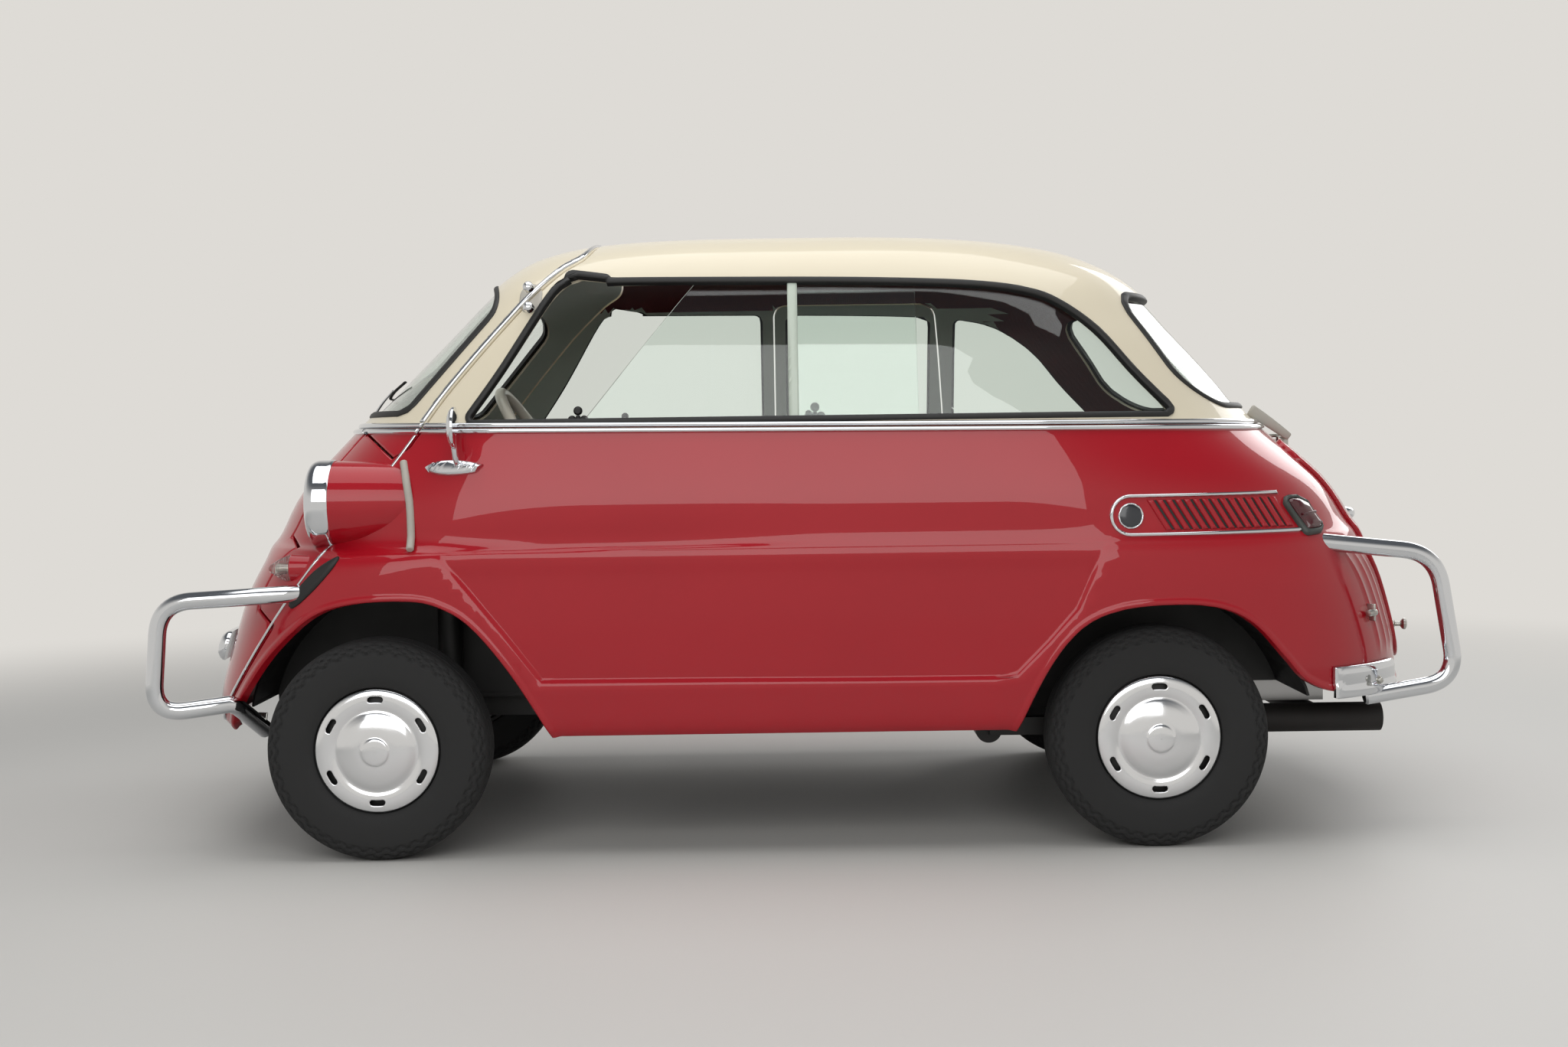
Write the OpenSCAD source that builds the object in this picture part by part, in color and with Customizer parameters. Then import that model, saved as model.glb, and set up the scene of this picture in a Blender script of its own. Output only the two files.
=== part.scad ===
// Small rear-engined car with a swinging front door. Front is -X, left side is -Y, ground is z = 0.

/* [Whole car] */
// Distance between the axles
wheelbase = 1700; // [1600:5:1800]
// Front track, between the tyre centre planes
front_track = 1220; // [1200:5:1230]
// Rear track, between the tyre centre planes
rear_track = 1160; // [1140:5:1190]
// Height of the roof crown
roof_h = 1382; // [1340:1:1430]
// Width of the body at its widest
body_w = 1400; // [1380:2:1440]
// Nose tip ahead of the middle of the wheelbase
nose_len = 1297; // [1260:1:1330]
// Tail tip behind the middle of the wheelbase
tail_len = 1490; // [1450:1:1530]
// Thickness of a wall, door or roof
wall = 28; // [20:1:34]
// Gap around doors and lids
seam_gap = 7; // [6:0.5:9]
// Height of the belt where red body meets pale roof
belt_z = 931; // [920:1:942]

/* [Front bumper hoops] */
// Foremost reach of the hoops ahead of the wheelbase middle
front_reach = 1353; // [1340:1:1380]
// Radius of the hoop tubes
hoop_r = 19; // [15:0.5:22]
// Front hoop centre planes inside the body's widest plane
front_hoop_in = 42; // [36:1:46]

/* [Rear bumper hoops] */
// Rearmost reach of the hoops behind the wheelbase middle
rear_reach = 1557; // [1545:1:1590]
// Rear hoop centre planes inside the body's widest plane
rear_hoop_in = 180; // [170:1:190]

/* [Wheels] */
// Outer radius of the tyres
tyre_r = 242; // [236:1:246]
// Width of the tyres
tyre_w = 130; // [120:1:136]
// Outer radius of the rim barrel
rim_r = 136; // [130:1:140]
// Width of the rim barrel
rim_w = 102; // [96:1:110]
// Radius of the stub axles
stub_r = 15; // [12:0.5:18]
// Number of slots in the wheel ring
slot_count = 6; // [4:1:10]

/* [Lamps] */
// Radius of the headlamp rings
lamp_r = 97; // [90:1:100]
// Headlamp height
lamp_z = 774; // [765:1:785]
// Headlamp centres inside the body's widest plane
lamp_in = 155; // [148:1:162]
// Headlamp front ahead of the wheelbase middle
lamp_x = 1004; // [995:1:1015]

/* [Front door] */
// Upper end of the hinge axis, ahead of the wheelbase middle
hinge_top_x = 500; // [495:1:505]
// Lower end of the hinge axis, ahead of the wheelbase middle
hinge_low_x = 1160; // [1155:1:1165]
// Radius of the door's recess around a headlamp pod
pod_recess_r = 200; // [198:1:206]
// Radius of the door's recess around a turn lamp
turn_recess_r = 95; // [90:1:100]

/* [Side door] */
// Front edge of the side door behind the wheelbase middle
door_front_x = 20; // [5:1:30]
// Rear edge of the side door behind the wheelbase middle
door_rear_x = 520; // [505:1:522]

/* [Engine lid] */
// Half width of the engine lid
lid_half_w = 345; // [330:1:360]
// Lower edge of the engine lid
lid_low_z = 372; // [360:1:390]
// Upper edge of the engine lid
lid_top_z = 880; // [865:1:890]

/* [Chassis] */
// Width of a chassis rail
rail_w = 60; // [50:1:70]
// Height of a chassis rail
rail_h = 50; // [44:1:58]
// Chassis rails from the middle plane
rail_y = 262; // [255:1:270]
// Radius of the cross tubes
tube_r = 30; // [24:1:32]
// Radius of the jacking sockets in the rails
socket_r = 12; // [9:0.5:14]

/* [Hidden] */
$fn = 48;
// Overrun of every cut
over = 10;
// Seat gap between pieces that touch
seat = 0.3;
half_w = body_w / 2;
half_base = wheelbase / 2;
lamp_y = half_w - lamp_in;
front_hoop_y = half_w - front_hoop_in;
rear_hoop_y = half_w - rear_hoop_in;
hub_z = tyre_r;
red = [0.55, 0.02, 0.05];
cream = [0.93, 0.9, 0.82];
bright = [0.82, 0.83, 0.85];
black = [0.06, 0.06, 0.06];
clear = [0.75, 0.85, 0.85];

// Body sections, low to high. Columns: height share, nose share of nose_len, tail share of tail_len,
// half width share of half_w, share of nose_len where the front curve starts, share of tail_len where the rear
// curve starts, power of the front curve, power of the rear curve
skin_shares = [
    [0.192, 0.985, 0.985, 0.950, 0.54, 0.47, 3.2, 3.0],
    [0.210, 0.999, 1.000, 0.978, 0.54, 0.47, 3.2, 3.0],
    [0.253, 0.997, 0.999, 0.990, 0.54, 0.47, 3.2, 3.0],
    [0.311, 0.979, 0.994, 0.997, 0.525, 0.456, 3.2, 3.0],
    [0.405, 0.948, 0.974, 1.000, 0.51, 0.43, 3.1, 2.9],
    [0.463, 0.918, 0.954, 0.996, 0.493, 0.403, 3.0, 2.8],
    [0.486, 0.911, 0.945, 0.987, 0.432, 0.39, 2.9, 2.8],
    [0.507, 0.902, 0.934, 0.979, 0.332, 0.376, 2.7, 2.7],
    [0.579, 0.860, 0.888, 0.965, 0.293, 0.336, 2.7, 2.7],
    [0.673, 0.764, 0.790, 0.921, 0.254, 0.289, 2.8, 2.6],
    [0.760, 0.668, 0.722, 0.871, 0.200, 0.255, 3.0, 2.6],
    [0.832, 0.590, 0.660, 0.829, 0.154, 0.221, 3.1, 2.7],
    [0.904, 0.514, 0.597, 0.771, 0.116, 0.188, 3.2, 2.8],
    [0.948, 0.460, 0.534, 0.700, 0.077, 0.148, 3.0, 2.6],
    [0.973, 0.409, 0.463, 0.600, 0.046, 0.121, 2.8, 2.5],
    [0.990, 0.339, 0.362, 0.457, 0.023, 0.087, 2.5, 2.4],
    [0.998, 0.231, 0.221, 0.271, 0.015, 0.060, 2.3, 2.3],
    [1.000, 0.093, 0.094, 0.114, 0.008, 0.027, 2.2, 2.2]];
// Front door seam seen from the side, top to bottom. Columns: share of nose_len, height share
seam_shares = [[0.291, 1.03], [0.303, 0.960], [0.349, 0.926], [0.422, 0.860], [0.534, 0.737], [0.621, 0.624],
    [0.808, 0.401], [0.9275, 0.243], [0.995, 0.152]];
// Side window opening seen from the side. Columns: share of half_base, height share
window_shares = [[-0.774, 0.687], [-0.676, 0.773], [-0.551, 0.899], [-0.508, 0.909], [-0.467, 0.912],
    [0.075, 0.908], [0.360, 0.903], [0.564, 0.897], [0.687, 0.886], [0.769, 0.868], [0.871, 0.823],
    [0.969, 0.7525], [1.070, 0.687]];

section_rows = len(skin_shares);
steps_per_row = 2;
arc_steps = 9;
side_steps = 4;

function spline(a, b, c, d, t) =
    0.5 * (2 * b + (c - a) * t + (2 * a - 5 * b + 4 * c - d) * t * t + (3 * b - a - 3 * c + d) * t * t * t);
function row(i) = skin_shares[max(0, min(section_rows - 1, i))];
// Section between the table's rows, as a smooth curve through them
function section(u) =
    let (i = min(floor(u), section_rows - 2), t = u - i)
    [for (k = [0 : 7]) spline(row(i - 1)[k], row(i)[k], row(i + 1)[k], row(i + 2)[k], t)];
// Height of a share: the lower body follows the belt, the upper body lies between the belt and the roof crown
waist_share = 0.673;
waist_drop = 1;
waist_z = belt_z - waist_drop;
function height(share) = share < waist_share ? waist_z * share / waist_share
    : waist_z + (roof_h - waist_z) * (share - waist_share) / (1 - waist_share);
// Tail end of the skin at a height
function tail_at(z) = tail_len * lookup(z, [for (s = skin_shares) [height(s[0]), s[2]]]);
shoulder_share = 0.9;
// Height of a section; an inset skin is lower at the roof
function section_z(s, inset) =
    height(s[0]) - inset * max(0, (s[0] - shoulder_share) / (1 - shoulder_share));
// Left half of a section, nose tip to tail tip
function half_plan(s, inset) =
    let (w = s[3] * half_w - inset, f0 = s[4] * nose_len, r0 = s[5] * tail_len,
         f = s[1] * nose_len - inset - f0, r = s[2] * tail_len - inset - r0)
    concat(
        [for (k = [0 : arc_steps]) let (a = 90 * k / arc_steps)
            [-f0 - f * pow(cos(a), 2 / s[6]), -w * pow(sin(a), 2 / s[6])]],
        [for (k = [1 : side_steps - 1]) [-f0 + (f0 + r0) * k / side_steps, -w]],
        [for (k = [arc_steps : -1 : 0]) let (a = 90 * k / arc_steps)
            [r0 + r * pow(cos(a), 2 / s[7]), -w * pow(sin(a), 2 / s[7])]]);
function ring(s, inset, drop) =
    let (h = half_plan(s, inset), z = section_z(s, inset) - drop)
    concat([for (p = h) [p[0], p[1], z]], [for (k = [len(h) - 2 : -1 : 1]) [h[k][0], -h[k][1], z]]);

// Closed solid of the body's outer form, moved inward by inset, its floor lowered by drop
module skin(inset = 0, drop = 0) {
    rings = [for (q = [0 : (section_rows - 1) * steps_per_row])
        ring(section(q / steps_per_row), inset, q == 0 ? drop : 0)];
    m = len(rings[0]);
    n = len(rings);
    pts = [for (r = rings) for (p = r) p];
    sides = [for (j = [0 : n - 2]) for (i = [0 : m - 1]) let (k = (i + 1) % m)
        for (f = [[j * m + i, (j + 1) * m + i, j * m + k], [j * m + k, (j + 1) * m + i, (j + 1) * m + k]]) f];
    polyhedron(pts, concat(sides, [[for (i = [0 : m - 1]) i]], [[for (i = [m - 1 : -1 : 0]) (n - 1) * m + i]]));
}
// Faceted sheet between two insets of the body's form
module sheet(outer, inner) {
    difference() {
        skin(outer);
        skin(inner, over);
    }
}
// Keeps a cut sheet as one faceted piece
module faceted() { resize([0, 0, 0]) children(); }
// Outline in x and z, extruded across y
module side_prism(y0, y1) {
    translate([0, y1, 0]) rotate([90, 0, 0]) linear_extrude(y1 - y0) children();
}
module across() { side_prism(-body_w, body_w) children(); }
module mirrored() {
    children();
    mirror([0, 1, 0]) children();
}
// Colours a piece and moves it so that the origin is under the middle of the car's length
module piece(c) { color(c) translate([(front_reach - rear_reach) / 2, 0, 0]) children(); }
// Cylinder along y from y0 to y1
module y_rod(x, z, y0, y1, r) { translate([x, y1, z]) rotate([90, 0, 0]) cylinder(h = y1 - y0, r = r); }
module x_rod(y, z, x0, x1, r) { translate([x0, y, z]) rotate([0, 90, 0]) cylinder(h = x1 - x0, r = r); }
module box(x0, x1, y0, y1, z0, z1) { translate([x0, y0, z0]) cube([x1 - x0, y1 - y0, z1 - z0]); }

// Regions that divide the skin into panels
far_x = 2 * tail_len;
seam_pts = [for (s = seam_shares) [-s[0] * nose_len, height(s[1])]];
function seam_x(z) = lookup(z, [for (p = seam_pts) [p[1], p[0]]]);
module door_outline(shift) {
    polygon(concat([for (p = seam_pts) [p[0] - shift, p[1]]],
        [[-far_x, seam_pts[len(seam_pts) - 1][1]], [-far_x, seam_pts[0][1]]]));
}
// Ends of the front door's hinge axis. Columns: share of half_w, height share
hinge_top_share = [0.757, 0.897];
hinge_low_share = [0.914, 0.362];
hinge_top = [-hinge_top_x, -hinge_top_share[0] * half_w, height(hinge_top_share[1])];
hinge_low = [-hinge_low_x, -hinge_low_share[0] * half_w, height(hinge_low_share[1])];
hinge_span = hinge_top - hinge_low;
hinge_len = norm(hinge_span);
pod_recess_from_share = 0.22;
pod_recess_to_share = 0.515;
turn_recess_from_share = 0.06;
// Places a child on the front door's hinge axis, its own z along the axis from the lower end
module on_hinge() {
    translate(hinge_low) rotate([0, acos(hinge_span[2] / hinge_len), atan2(hinge_span[1], hinge_span[0])]) children();
}
module hinge_rod(r, s0, s1) { on_hinge() translate([0, 0, s0]) cylinder(h = s1 - s0, r = r); }
// Everything ahead of the front door's seam, less the recesses around the headlamp pods and the turn lamps
module front_door_region(shift) {
    trim = seam_gap - shift;
    difference() {
        across() door_outline(shift);
        mirrored() {
            hinge_rod(pod_recess_r - trim, pod_recess_from_share * hinge_len + trim,
                pod_recess_to_share * hinge_len - trim);
            hinge_rod(turn_recess_r - trim, turn_recess_from_share * hinge_len + trim,
                pod_recess_from_share * hinge_len + over);
        }
    }
}
door_top_share = 0.925;
door_low_share = 0.285;
door_top_z = height(door_top_share);
door_low_z = height(door_low_share);
door_taper_share = 0.26;
door_hinge_off = 6;
door_hinge_r = 7;
door_hinge_x = door_front_x - seam_gap / 2;
door_hinge_y = half_w + door_hinge_off;
door_hinge_h = 22;
door_hinge_arm = 40;
door_hinge_low_share = 0.33;
door_hinge_top_share = 0.5;
// Side door hinge leaves: the body's lower knuckles (dir -1) or the door's upper knuckles (dir 1)
module door_hinge(dir) {
    for (share = [door_hinge_low_share, door_hinge_top_share])
        translate([door_hinge_x, door_hinge_y, height(share) + (dir > 0 ? seat : -door_hinge_h)]) {
            cylinder(h = door_hinge_h, r = door_hinge_r);
            box(dir > 0 ? 0 : -door_hinge_arm, dir > 0 ? door_hinge_arm : 0, -door_hinge_arm, door_hinge_r / 2, 0,
                door_hinge_h);
        }
}
door_in_share = 0.65;
door_out_share = 1.1;
door_in_y = door_in_share * half_w;
door_out_y = door_out_share * half_w;
// Side door on the right, its rear edge leaning forward toward the inside
module side_door_region(grow) {
    lean = door_taper_share * (door_out_y - door_in_y);
    hull() {
        box(door_front_x - grow, door_rear_x + grow, door_out_y, door_out_y + over, door_low_z - grow, door_top_z + grow);
        box(door_front_x - grow, door_rear_x - lean + grow, door_in_y - over, door_in_y, door_low_z - grow,
            door_top_z + grow);
    }
}
lid_hinge_rise = 13;
lid_hinge_out = 18;
lid_hinge_z = lid_top_z + lid_hinge_rise;
lid_hinge_x = tail_at(lid_hinge_z) + lid_hinge_out;
lid_hinge_r = 6;
lid_hinge_y = 200;
lid_hinge_w = 24;
lid_hinge_arm = 50;
// Engine lid hinges: the body's knuckles (lid false) or the lid's knuckles beside them (lid true)
module lid_hinge(lid) {
    mirrored() translate([lid_hinge_x, lid ? -lid_hinge_y - lid_hinge_w - seat : -lid_hinge_y, lid_hinge_z]) {
        y_rod(0, 0, 0, lid_hinge_w, lid_hinge_r);
        if (lid) box(-lid_hinge_arm / 2, lid_hinge_r, 0, lid_hinge_w, -lid_hinge_arm, 0);
        else box(-lid_hinge_arm, 0, 0, lid_hinge_w, -lid_hinge_r / 2, lid_hinge_r);
    }
}
nose_hinge_r = 9;
nose_hinge_h = 21;
nose_hinge_body_arm = [7, 21, 24];
nose_hinge_door_arm = [-36, 92, 0];
// Front door hinge: the body's knuckle (door false) or the door's knuckle below it (door true), each with its arm
module nose_hinge(door) {
    on_hinge() translate([0, 0, hinge_len - (door ? 2 * nose_hinge_h + seat : nose_hinge_h)]) hull() {
        cylinder(h = nose_hinge_h, r = nose_hinge_r);
        translate(door ? nose_hinge_door_arm : nose_hinge_body_arm) cylinder(h = nose_hinge_h, r = nose_hinge_r);
    }
}
lid_start_share = 0.6;
lid_start_x = lid_start_share * tail_len;
module lid_region(grow) {
    translate([lid_start_x, 0, 0]) rotate([90, 0, 90]) linear_extrude(far_x)
        translate([-lid_half_w - grow, lid_low_z - grow])
            square([2 * (lid_half_w + grow), lid_top_z - lid_low_z + 2 * grow]);
}
front_arch_r = 317;
front_arch_z = 250;
front_arch_shift = 20;
rear_arch_r = 320;
rear_arch_z = 215;
rear_arch_shift = 18;
// Lower flanks of the arches from the hub. Columns: share of half_base, height share
front_flank_shares = [[-0.306, 0.289], [-0.382, 0.170], [0.449, 0.170], [0.347, 0.296]];
rear_flank_shares = [[-0.284, 0.294], [-0.376, 0.170], [0.406, 0.170], [0.341, 0.275]];
tail_low_z = 338;
tail_low_share = 0.792;
tail_low_x = tail_low_share * tail_len;
module flank(shares) { polygon([for (s = shares) [s[0] * half_base, height(s[1])]]); }
module arches() {
    across() {
        translate([front_arch_shift - half_base, front_arch_z]) circle(r = front_arch_r);
        translate([-half_base, 0]) flank(front_flank_shares);
        translate([half_base + rear_arch_shift, rear_arch_z]) circle(r = rear_arch_r);
        translate([half_base, 0]) flank(rear_flank_shares);
        translate([tail_low_x, 0]) square([tail_len, tail_low_z]);
    }
}
module window_outline(inset) {
    offset(delta = -inset) polygon([for (s = window_shares) [s[0] * half_base, height(s[1])]]);
}
screen_rise = 42;
screen_low_z = belt_z + screen_rise;
screen_top_share = 0.923;
screen_top_z = height(screen_top_share);
screen_frame_w = 76;
module screen_region(inset) {
    across() polygon([[-far_x, screen_low_z + inset],
        [seam_x(screen_low_z) - screen_frame_w - inset, screen_low_z + inset],
        [seam_x(screen_top_z) - screen_frame_w - inset, screen_top_z - inset], [-far_x, screen_top_z - inset]]);
}
rear_glass_rise = 35;
rear_glass_low_z = belt_z + rear_glass_rise;
rear_glass_high_share = 0.884;
rear_glass_top_z = height(rear_glass_high_share);
rear_glass_low_share = 0.7;
rear_glass_top_share = 0.6;
module rear_glass_region(inset) {
    low = rear_glass_low_share * half_w - inset;
    top = rear_glass_top_share * half_w - inset;
    translate([lid_start_x / 2, 0, 0]) rotate([90, 0, 90]) linear_extrude(far_x)
        polygon([[-low, rear_glass_low_z + inset], [low, rear_glass_low_z + inset],
            [top, rear_glass_top_z - inset], [-top, rear_glass_top_z - inset]]);
}
pillar_w = 28;
door_rear_top_x = door_rear_x - door_taper_share * (door_out_y - door_in_y) / 2;
// Window openings of the right side: ahead of the door, in the door and behind it
module right_windows(inset) {
    side_prism(over, body_w) {
        intersection() {
            window_outline(inset);
            translate([-far_x, 0]) square([far_x + door_front_x - seam_gap - pillar_w - inset, 2 * roof_h]);
        }
        intersection() {
            window_outline(inset);
            translate([door_rear_top_x + seam_gap + pillar_w + inset, 0]) square([far_x, 2 * roof_h]);
        }
    }
}
module door_window(inset) {
    side_prism(over, body_w) intersection() {
        window_outline(inset);
        translate([door_front_x + pillar_w + inset, 0])
            square([door_rear_top_x - door_front_x - 2 * (pillar_w + inset), 2 * roof_h]);
    }
}
belt_tilt = 0.54;
// Places a child in the belt's plane, which falls a little toward the rear
module on_belt() { translate([0, 0, belt_z]) rotate([0, belt_tilt, 0]) children(); }
module above_belt() { on_belt() box(-far_x, far_x, -body_w, body_w, 0, 2 * roof_h); }
module below_belt() { on_belt() box(-far_x, far_x, -body_w, body_w, -2 * roof_h, 0); }
lamp_depth = 62;
module lamp_recess(grow) {
    mirrored() {
        x_rod(-lamp_y, lamp_z, -lamp_x - over, -lamp_x + lamp_depth + grow, lamp_r - lamp_lip + grow);
        x_rod(-lamp_y, lamp_z, -lamp_x - lamp_r, -lamp_x, lamp_r + grow);
    }
}
lamp_lip = 9;

module body_lower() piece(red) faceted() {
    difference() {
        sheet(0, wall);
        above_belt();
        front_door_region(0);
        side_door_region(seam_gap);
        lid_region(seam_gap);
        arches();
        lamp_recess(1);
    }
    door_hinge(-1);
    lid_hinge(false);
}
module roof_shell() piece(cream) faceted() {
    difference() {
        sheet(0, wall);
        below_belt();
        front_door_region(0);
        side_door_region(seam_gap);
        side_prism(-body_w, -over) window_outline(0);
        right_windows(0);
        rear_glass_region(0);
    }
    nose_hinge(false);
}
module front_door_panel() piece(red) faceted() {
    difference() {
        intersection() {
            sheet(0, wall);
            front_door_region(seam_gap);
        }
        above_belt();
    }
    intersection() {
        column_boss();
        skin(wall / 2);
    }
}
module windscreen_frame() piece(cream) faceted() {
    difference() {
        intersection() {
            sheet(0, wall);
            front_door_region(seam_gap);
        }
        below_belt();
        screen_region(0);
    }
    nose_hinge(true);
}
glass_inset = 9;
glass_t = 5;
module windscreen() piece(clear) faceted() intersection() {
    sheet(glass_inset, glass_inset + glass_t);
    screen_region(seat);
}
module rear_window() piece(clear) faceted() intersection() {
    sheet(glass_inset, glass_inset + glass_t);
    rear_glass_region(seat);
}
module side_glass() piece(clear) faceted() intersection() {
    sheet(glass_inset, glass_inset + glass_t);
    union() {
        side_prism(-body_w, -over) window_outline(seat);
        right_windows(seat);
    }
}
module side_door_panel() piece(red) faceted() {
    difference() {
        intersection() {
            sheet(0, wall);
            side_door_region(0);
        }
        above_belt();
    }
    door_hinge(1);
}
module side_door_frame() piece(cream) faceted() difference() {
    intersection() {
        sheet(0, wall);
        side_door_region(0);
    }
    below_belt();
    door_window(0);
}
module side_door_glass() piece(clear) faceted() intersection() {
    sheet(glass_inset, glass_inset + glass_t);
    door_window(seat);
}
module engine_lid() piece(red) faceted() {
    intersection() {
        sheet(0, wall);
        lid_region(0);
    }
    lid_hinge(true);
}
belt_rail_h = 24;
belt_rail_t = 9;
module belt_strip() {
    intersection() {
        sheet(-belt_rail_t, -seat);
        on_belt() box(-far_x, far_x, -body_w, body_w, -belt_rail_h / 2, belt_rail_h / 2);
    }
}
module belt_rails() piece(bright) faceted() difference() {
    belt_strip();
    front_door_region(0);
    side_door_region(seam_gap);
}
bumper_t = 42;
bumper_h = 70;
bumper_z = 432;
bumper_half_w = 330;
module front_door_trim() piece(bright) faceted() {
    intersection() {
        belt_strip();
        front_door_region(seam_gap);
    }
    intersection() {
        sheet(-bumper_t, -seat);
        box(-far_x, 0, -bumper_half_w, bumper_half_w, bumper_z - bumper_h / 2, bumper_z + bumper_h / 2);
    }
}
handle_in = 90;
handle_x = door_rear_x - handle_in;
module side_door_trim() piece(bright) faceted() {
    intersection() {
        belt_strip();
        side_door_region(0);
    }
    intersection() {
        sheet(-2 * belt_rail_t, -seat);
        side_prism(over, body_w) translate([handle_x - 3 * belt_rail_h, belt_z - 5 * belt_rail_h])
            square([3 * belt_rail_h, belt_rail_h]);
    }
}

// Lamps
pod_len = 235;
pod_back_r = 88;
module headlamp_pods() piece(red) faceted() difference() {
    mirrored() translate([-lamp_x, -lamp_y, lamp_z]) rotate([0, 90, 0])
        cylinder(h = pod_len, r1 = lamp_r, r2 = pod_back_r);
    skin(-seat);
    lamp_recess(1);
}
ring_t = 14;
module headlamps() piece(bright) mirrored() translate([-lamp_x - seat, -lamp_y, lamp_z]) rotate([0, 90, 0]) {
    rotate_extrude() polygon([[lamp_r - 2 * lamp_lip, -ring_t], [lamp_r, -ring_t / 2], [lamp_r, 0], [lamp_r - lamp_lip, 0],
        [lamp_r - lamp_lip, lamp_depth], [0, lamp_depth], [0, lamp_depth - lamp_lip], [lamp_r - 3 * lamp_lip, 0],
        [lamp_r - 2 * lamp_lip, 0]]);
}
lens_r = lamp_r - 2 * lamp_lip - seat;
lens_bulge = 4;
module headlamp_lenses() piece(clear) mirrored() translate([-lamp_x - seat, -lamp_y, lamp_z]) rotate([0, 90, 0])
    rotate_extrude() polygon([[0, -ring_t - lens_bulge], [lens_r / 2, -ring_t - lens_bulge * 3 / 4], [lens_r, -ring_t],
        [lens_r, -seat], [0, -seat]]);
turn_r = 27;
turn_len = 60;
turn_x_share = 0.8065;
turn_y_share = 0.843;
turn_x = turn_x_share * nose_len;
turn_y = turn_y_share * half_w;
turn_z = 604;
turn_stem = 70;
module turn_lamps() piece(clear) faceted() difference() {
    mirrored() translate([-turn_x, -turn_y, turn_z]) rotate([0, 90, 0]) {
        translate([0, 0, -turn_len]) cylinder(h = turn_len, r1 = turn_r / 3, r2 = turn_r);
        cylinder(h = turn_stem, r = turn_r);
    }
    skin(-seat);
}
vent_front_share = 0.4945;
vent_rear_share = 0.7564;
vent_x0 = vent_front_share * tail_len;
vent_x1 = vent_rear_share * tail_len;
vent_z0 = 684;
vent_z1 = 774;
vent_rim = 13.5;
vent_t = 10;
vent_slant = 55;
vent_bars = 15;
vent_bar_in = 83;
bar_w = 9;
// Outline of a side vent: round in front, slanted and open behind
module vent_outline(inset) {
    end_r = (vent_z1 - vent_z0) / 2;
    translate([vent_x0 + end_r, vent_z0 + end_r]) circle(r = end_r - inset);
    polygon([[vent_x0 + end_r, vent_z0 + inset], [vent_x1 + vent_slant + inset, vent_z0 + inset],
        [vent_x1 + inset, vent_z1 - inset], [vent_x0 + end_r, vent_z1 - inset]]);
}
module side_vents() piece(bright) faceted() intersection() {
    sheet(-vent_t, -seat);
    across() {
        difference() {
            vent_outline(0);
            vent_outline(vent_rim);
        }
        for (k = [0 : vent_bars - 1])
            let (x = vent_x0 + vent_bar_in + (vent_x1 - vent_x0 - vent_bar_in) * k / vent_bars)
                polygon([[x, vent_z1 - vent_rim / 2], [x + vent_slant, vent_z0 + vent_rim / 2],
                    [x + vent_slant + bar_w, vent_z0 + vent_rim / 2], [x + bar_w, vent_z1 - vent_rim / 2]]);
    }
}
tail_lamp_w = 58;
tail_lamp_t = 26;
module tail_lamps() piece(red) faceted() intersection() {
    sheet(-tail_lamp_t, -seat);
    across() translate([vent_x1 + seat, 0])
        polygon([[0, vent_z1], [vent_slant, vent_z0], [vent_slant + tail_lamp_w, vent_z0], [tail_lamp_w, vent_z1]]);
}

// Tubes swept along a path with rounded corners
tube_sides = 12;
bend_steps = 4;
function unit(v) = v / norm(v);
// Path with each inner corner replaced by a curve that starts bend away from it
function rounded(p, bend) = concat([p[0]],
    [for (i = [1 : len(p) - 2]) let (a = p[i] + bend * unit(p[i - 1] - p[i]), b = p[i] + bend * unit(p[i + 1] - p[i]))
        for (k = [0 : bend_steps]) let (t = k / bend_steps)
            (1 - t) * (1 - t) * a + 2 * t * (1 - t) * p[i] + t * t * b],
    [p[len(p) - 1]]);
module swept(path, r) {
    n = len(path);
    pts = [for (i = [0 : n - 1])
        let (d = unit(path[min(i + 1, n - 1)] - path[max(i - 1, 0)]), e = unit(cross(d, [0, 1, 0])), g = cross(e, d))
        for (k = [0 : tube_sides - 1]) let (a = 360 * k / tube_sides) path[i] + r * (cos(a) * e + sin(a) * g)];
    faces = [for (i = [0 : n - 2]) for (k = [0 : tube_sides - 1]) let (m = (k + 1) % tube_sides)
        for (f = [[i * tube_sides + k, i * tube_sides + m, (i + 1) * tube_sides + k],
            [i * tube_sides + m, (i + 1) * tube_sides + m, (i + 1) * tube_sides + k]]) f];
    polyhedron(pts, concat(faces, [[for (k = [tube_sides - 1 : -1 : 0]) k]],
        [[for (k = [0 : tube_sides - 1]) (n - 1) * tube_sides + k]]));
}
hoop_bend = 70;
front_hoop_top_z = 584;
front_hoop_drop = 14;
front_hoop_low_z = 326;
front_hoop_rise = 24;
front_hoop_lean = 20;
front_hoop_end_x = 990;
front_hoop_top_x = 1048;
front_hoop_low_x = 1140;
front_hoop_end_toe = 58;
front_hoop_toe = 73;
module front_bumpers() piece(bright) faceted() difference() {
    mirrored() swept(rounded([[-front_hoop_end_x, -front_hoop_y + front_hoop_end_toe, front_hoop_top_z],
        [-front_hoop_top_x, -front_hoop_y, front_hoop_top_z],
        [-front_reach + hoop_r + front_hoop_lean, -front_hoop_y, front_hoop_top_z - front_hoop_drop],
        [-front_reach + hoop_r, -front_hoop_y, front_hoop_low_z],
        [-front_hoop_low_x, -front_hoop_y + front_hoop_toe, front_hoop_low_z + front_hoop_rise]], hoop_bend), hoop_r);
    skin(-seat);
}
rear_hoop_top_z = 661;
rear_hoop_drop = 32;
rear_hoop_low_z = 343;
rear_hoop_fall = 34;
rear_hoop_lean = 48;
rear_hoop_in_share = 0.805;
rear_hoop_in_x = rear_hoop_in_share * tail_len;
rear_hoop_end_x = 1330;
blade_t = 14;
blade_share = 0.83;
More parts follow.
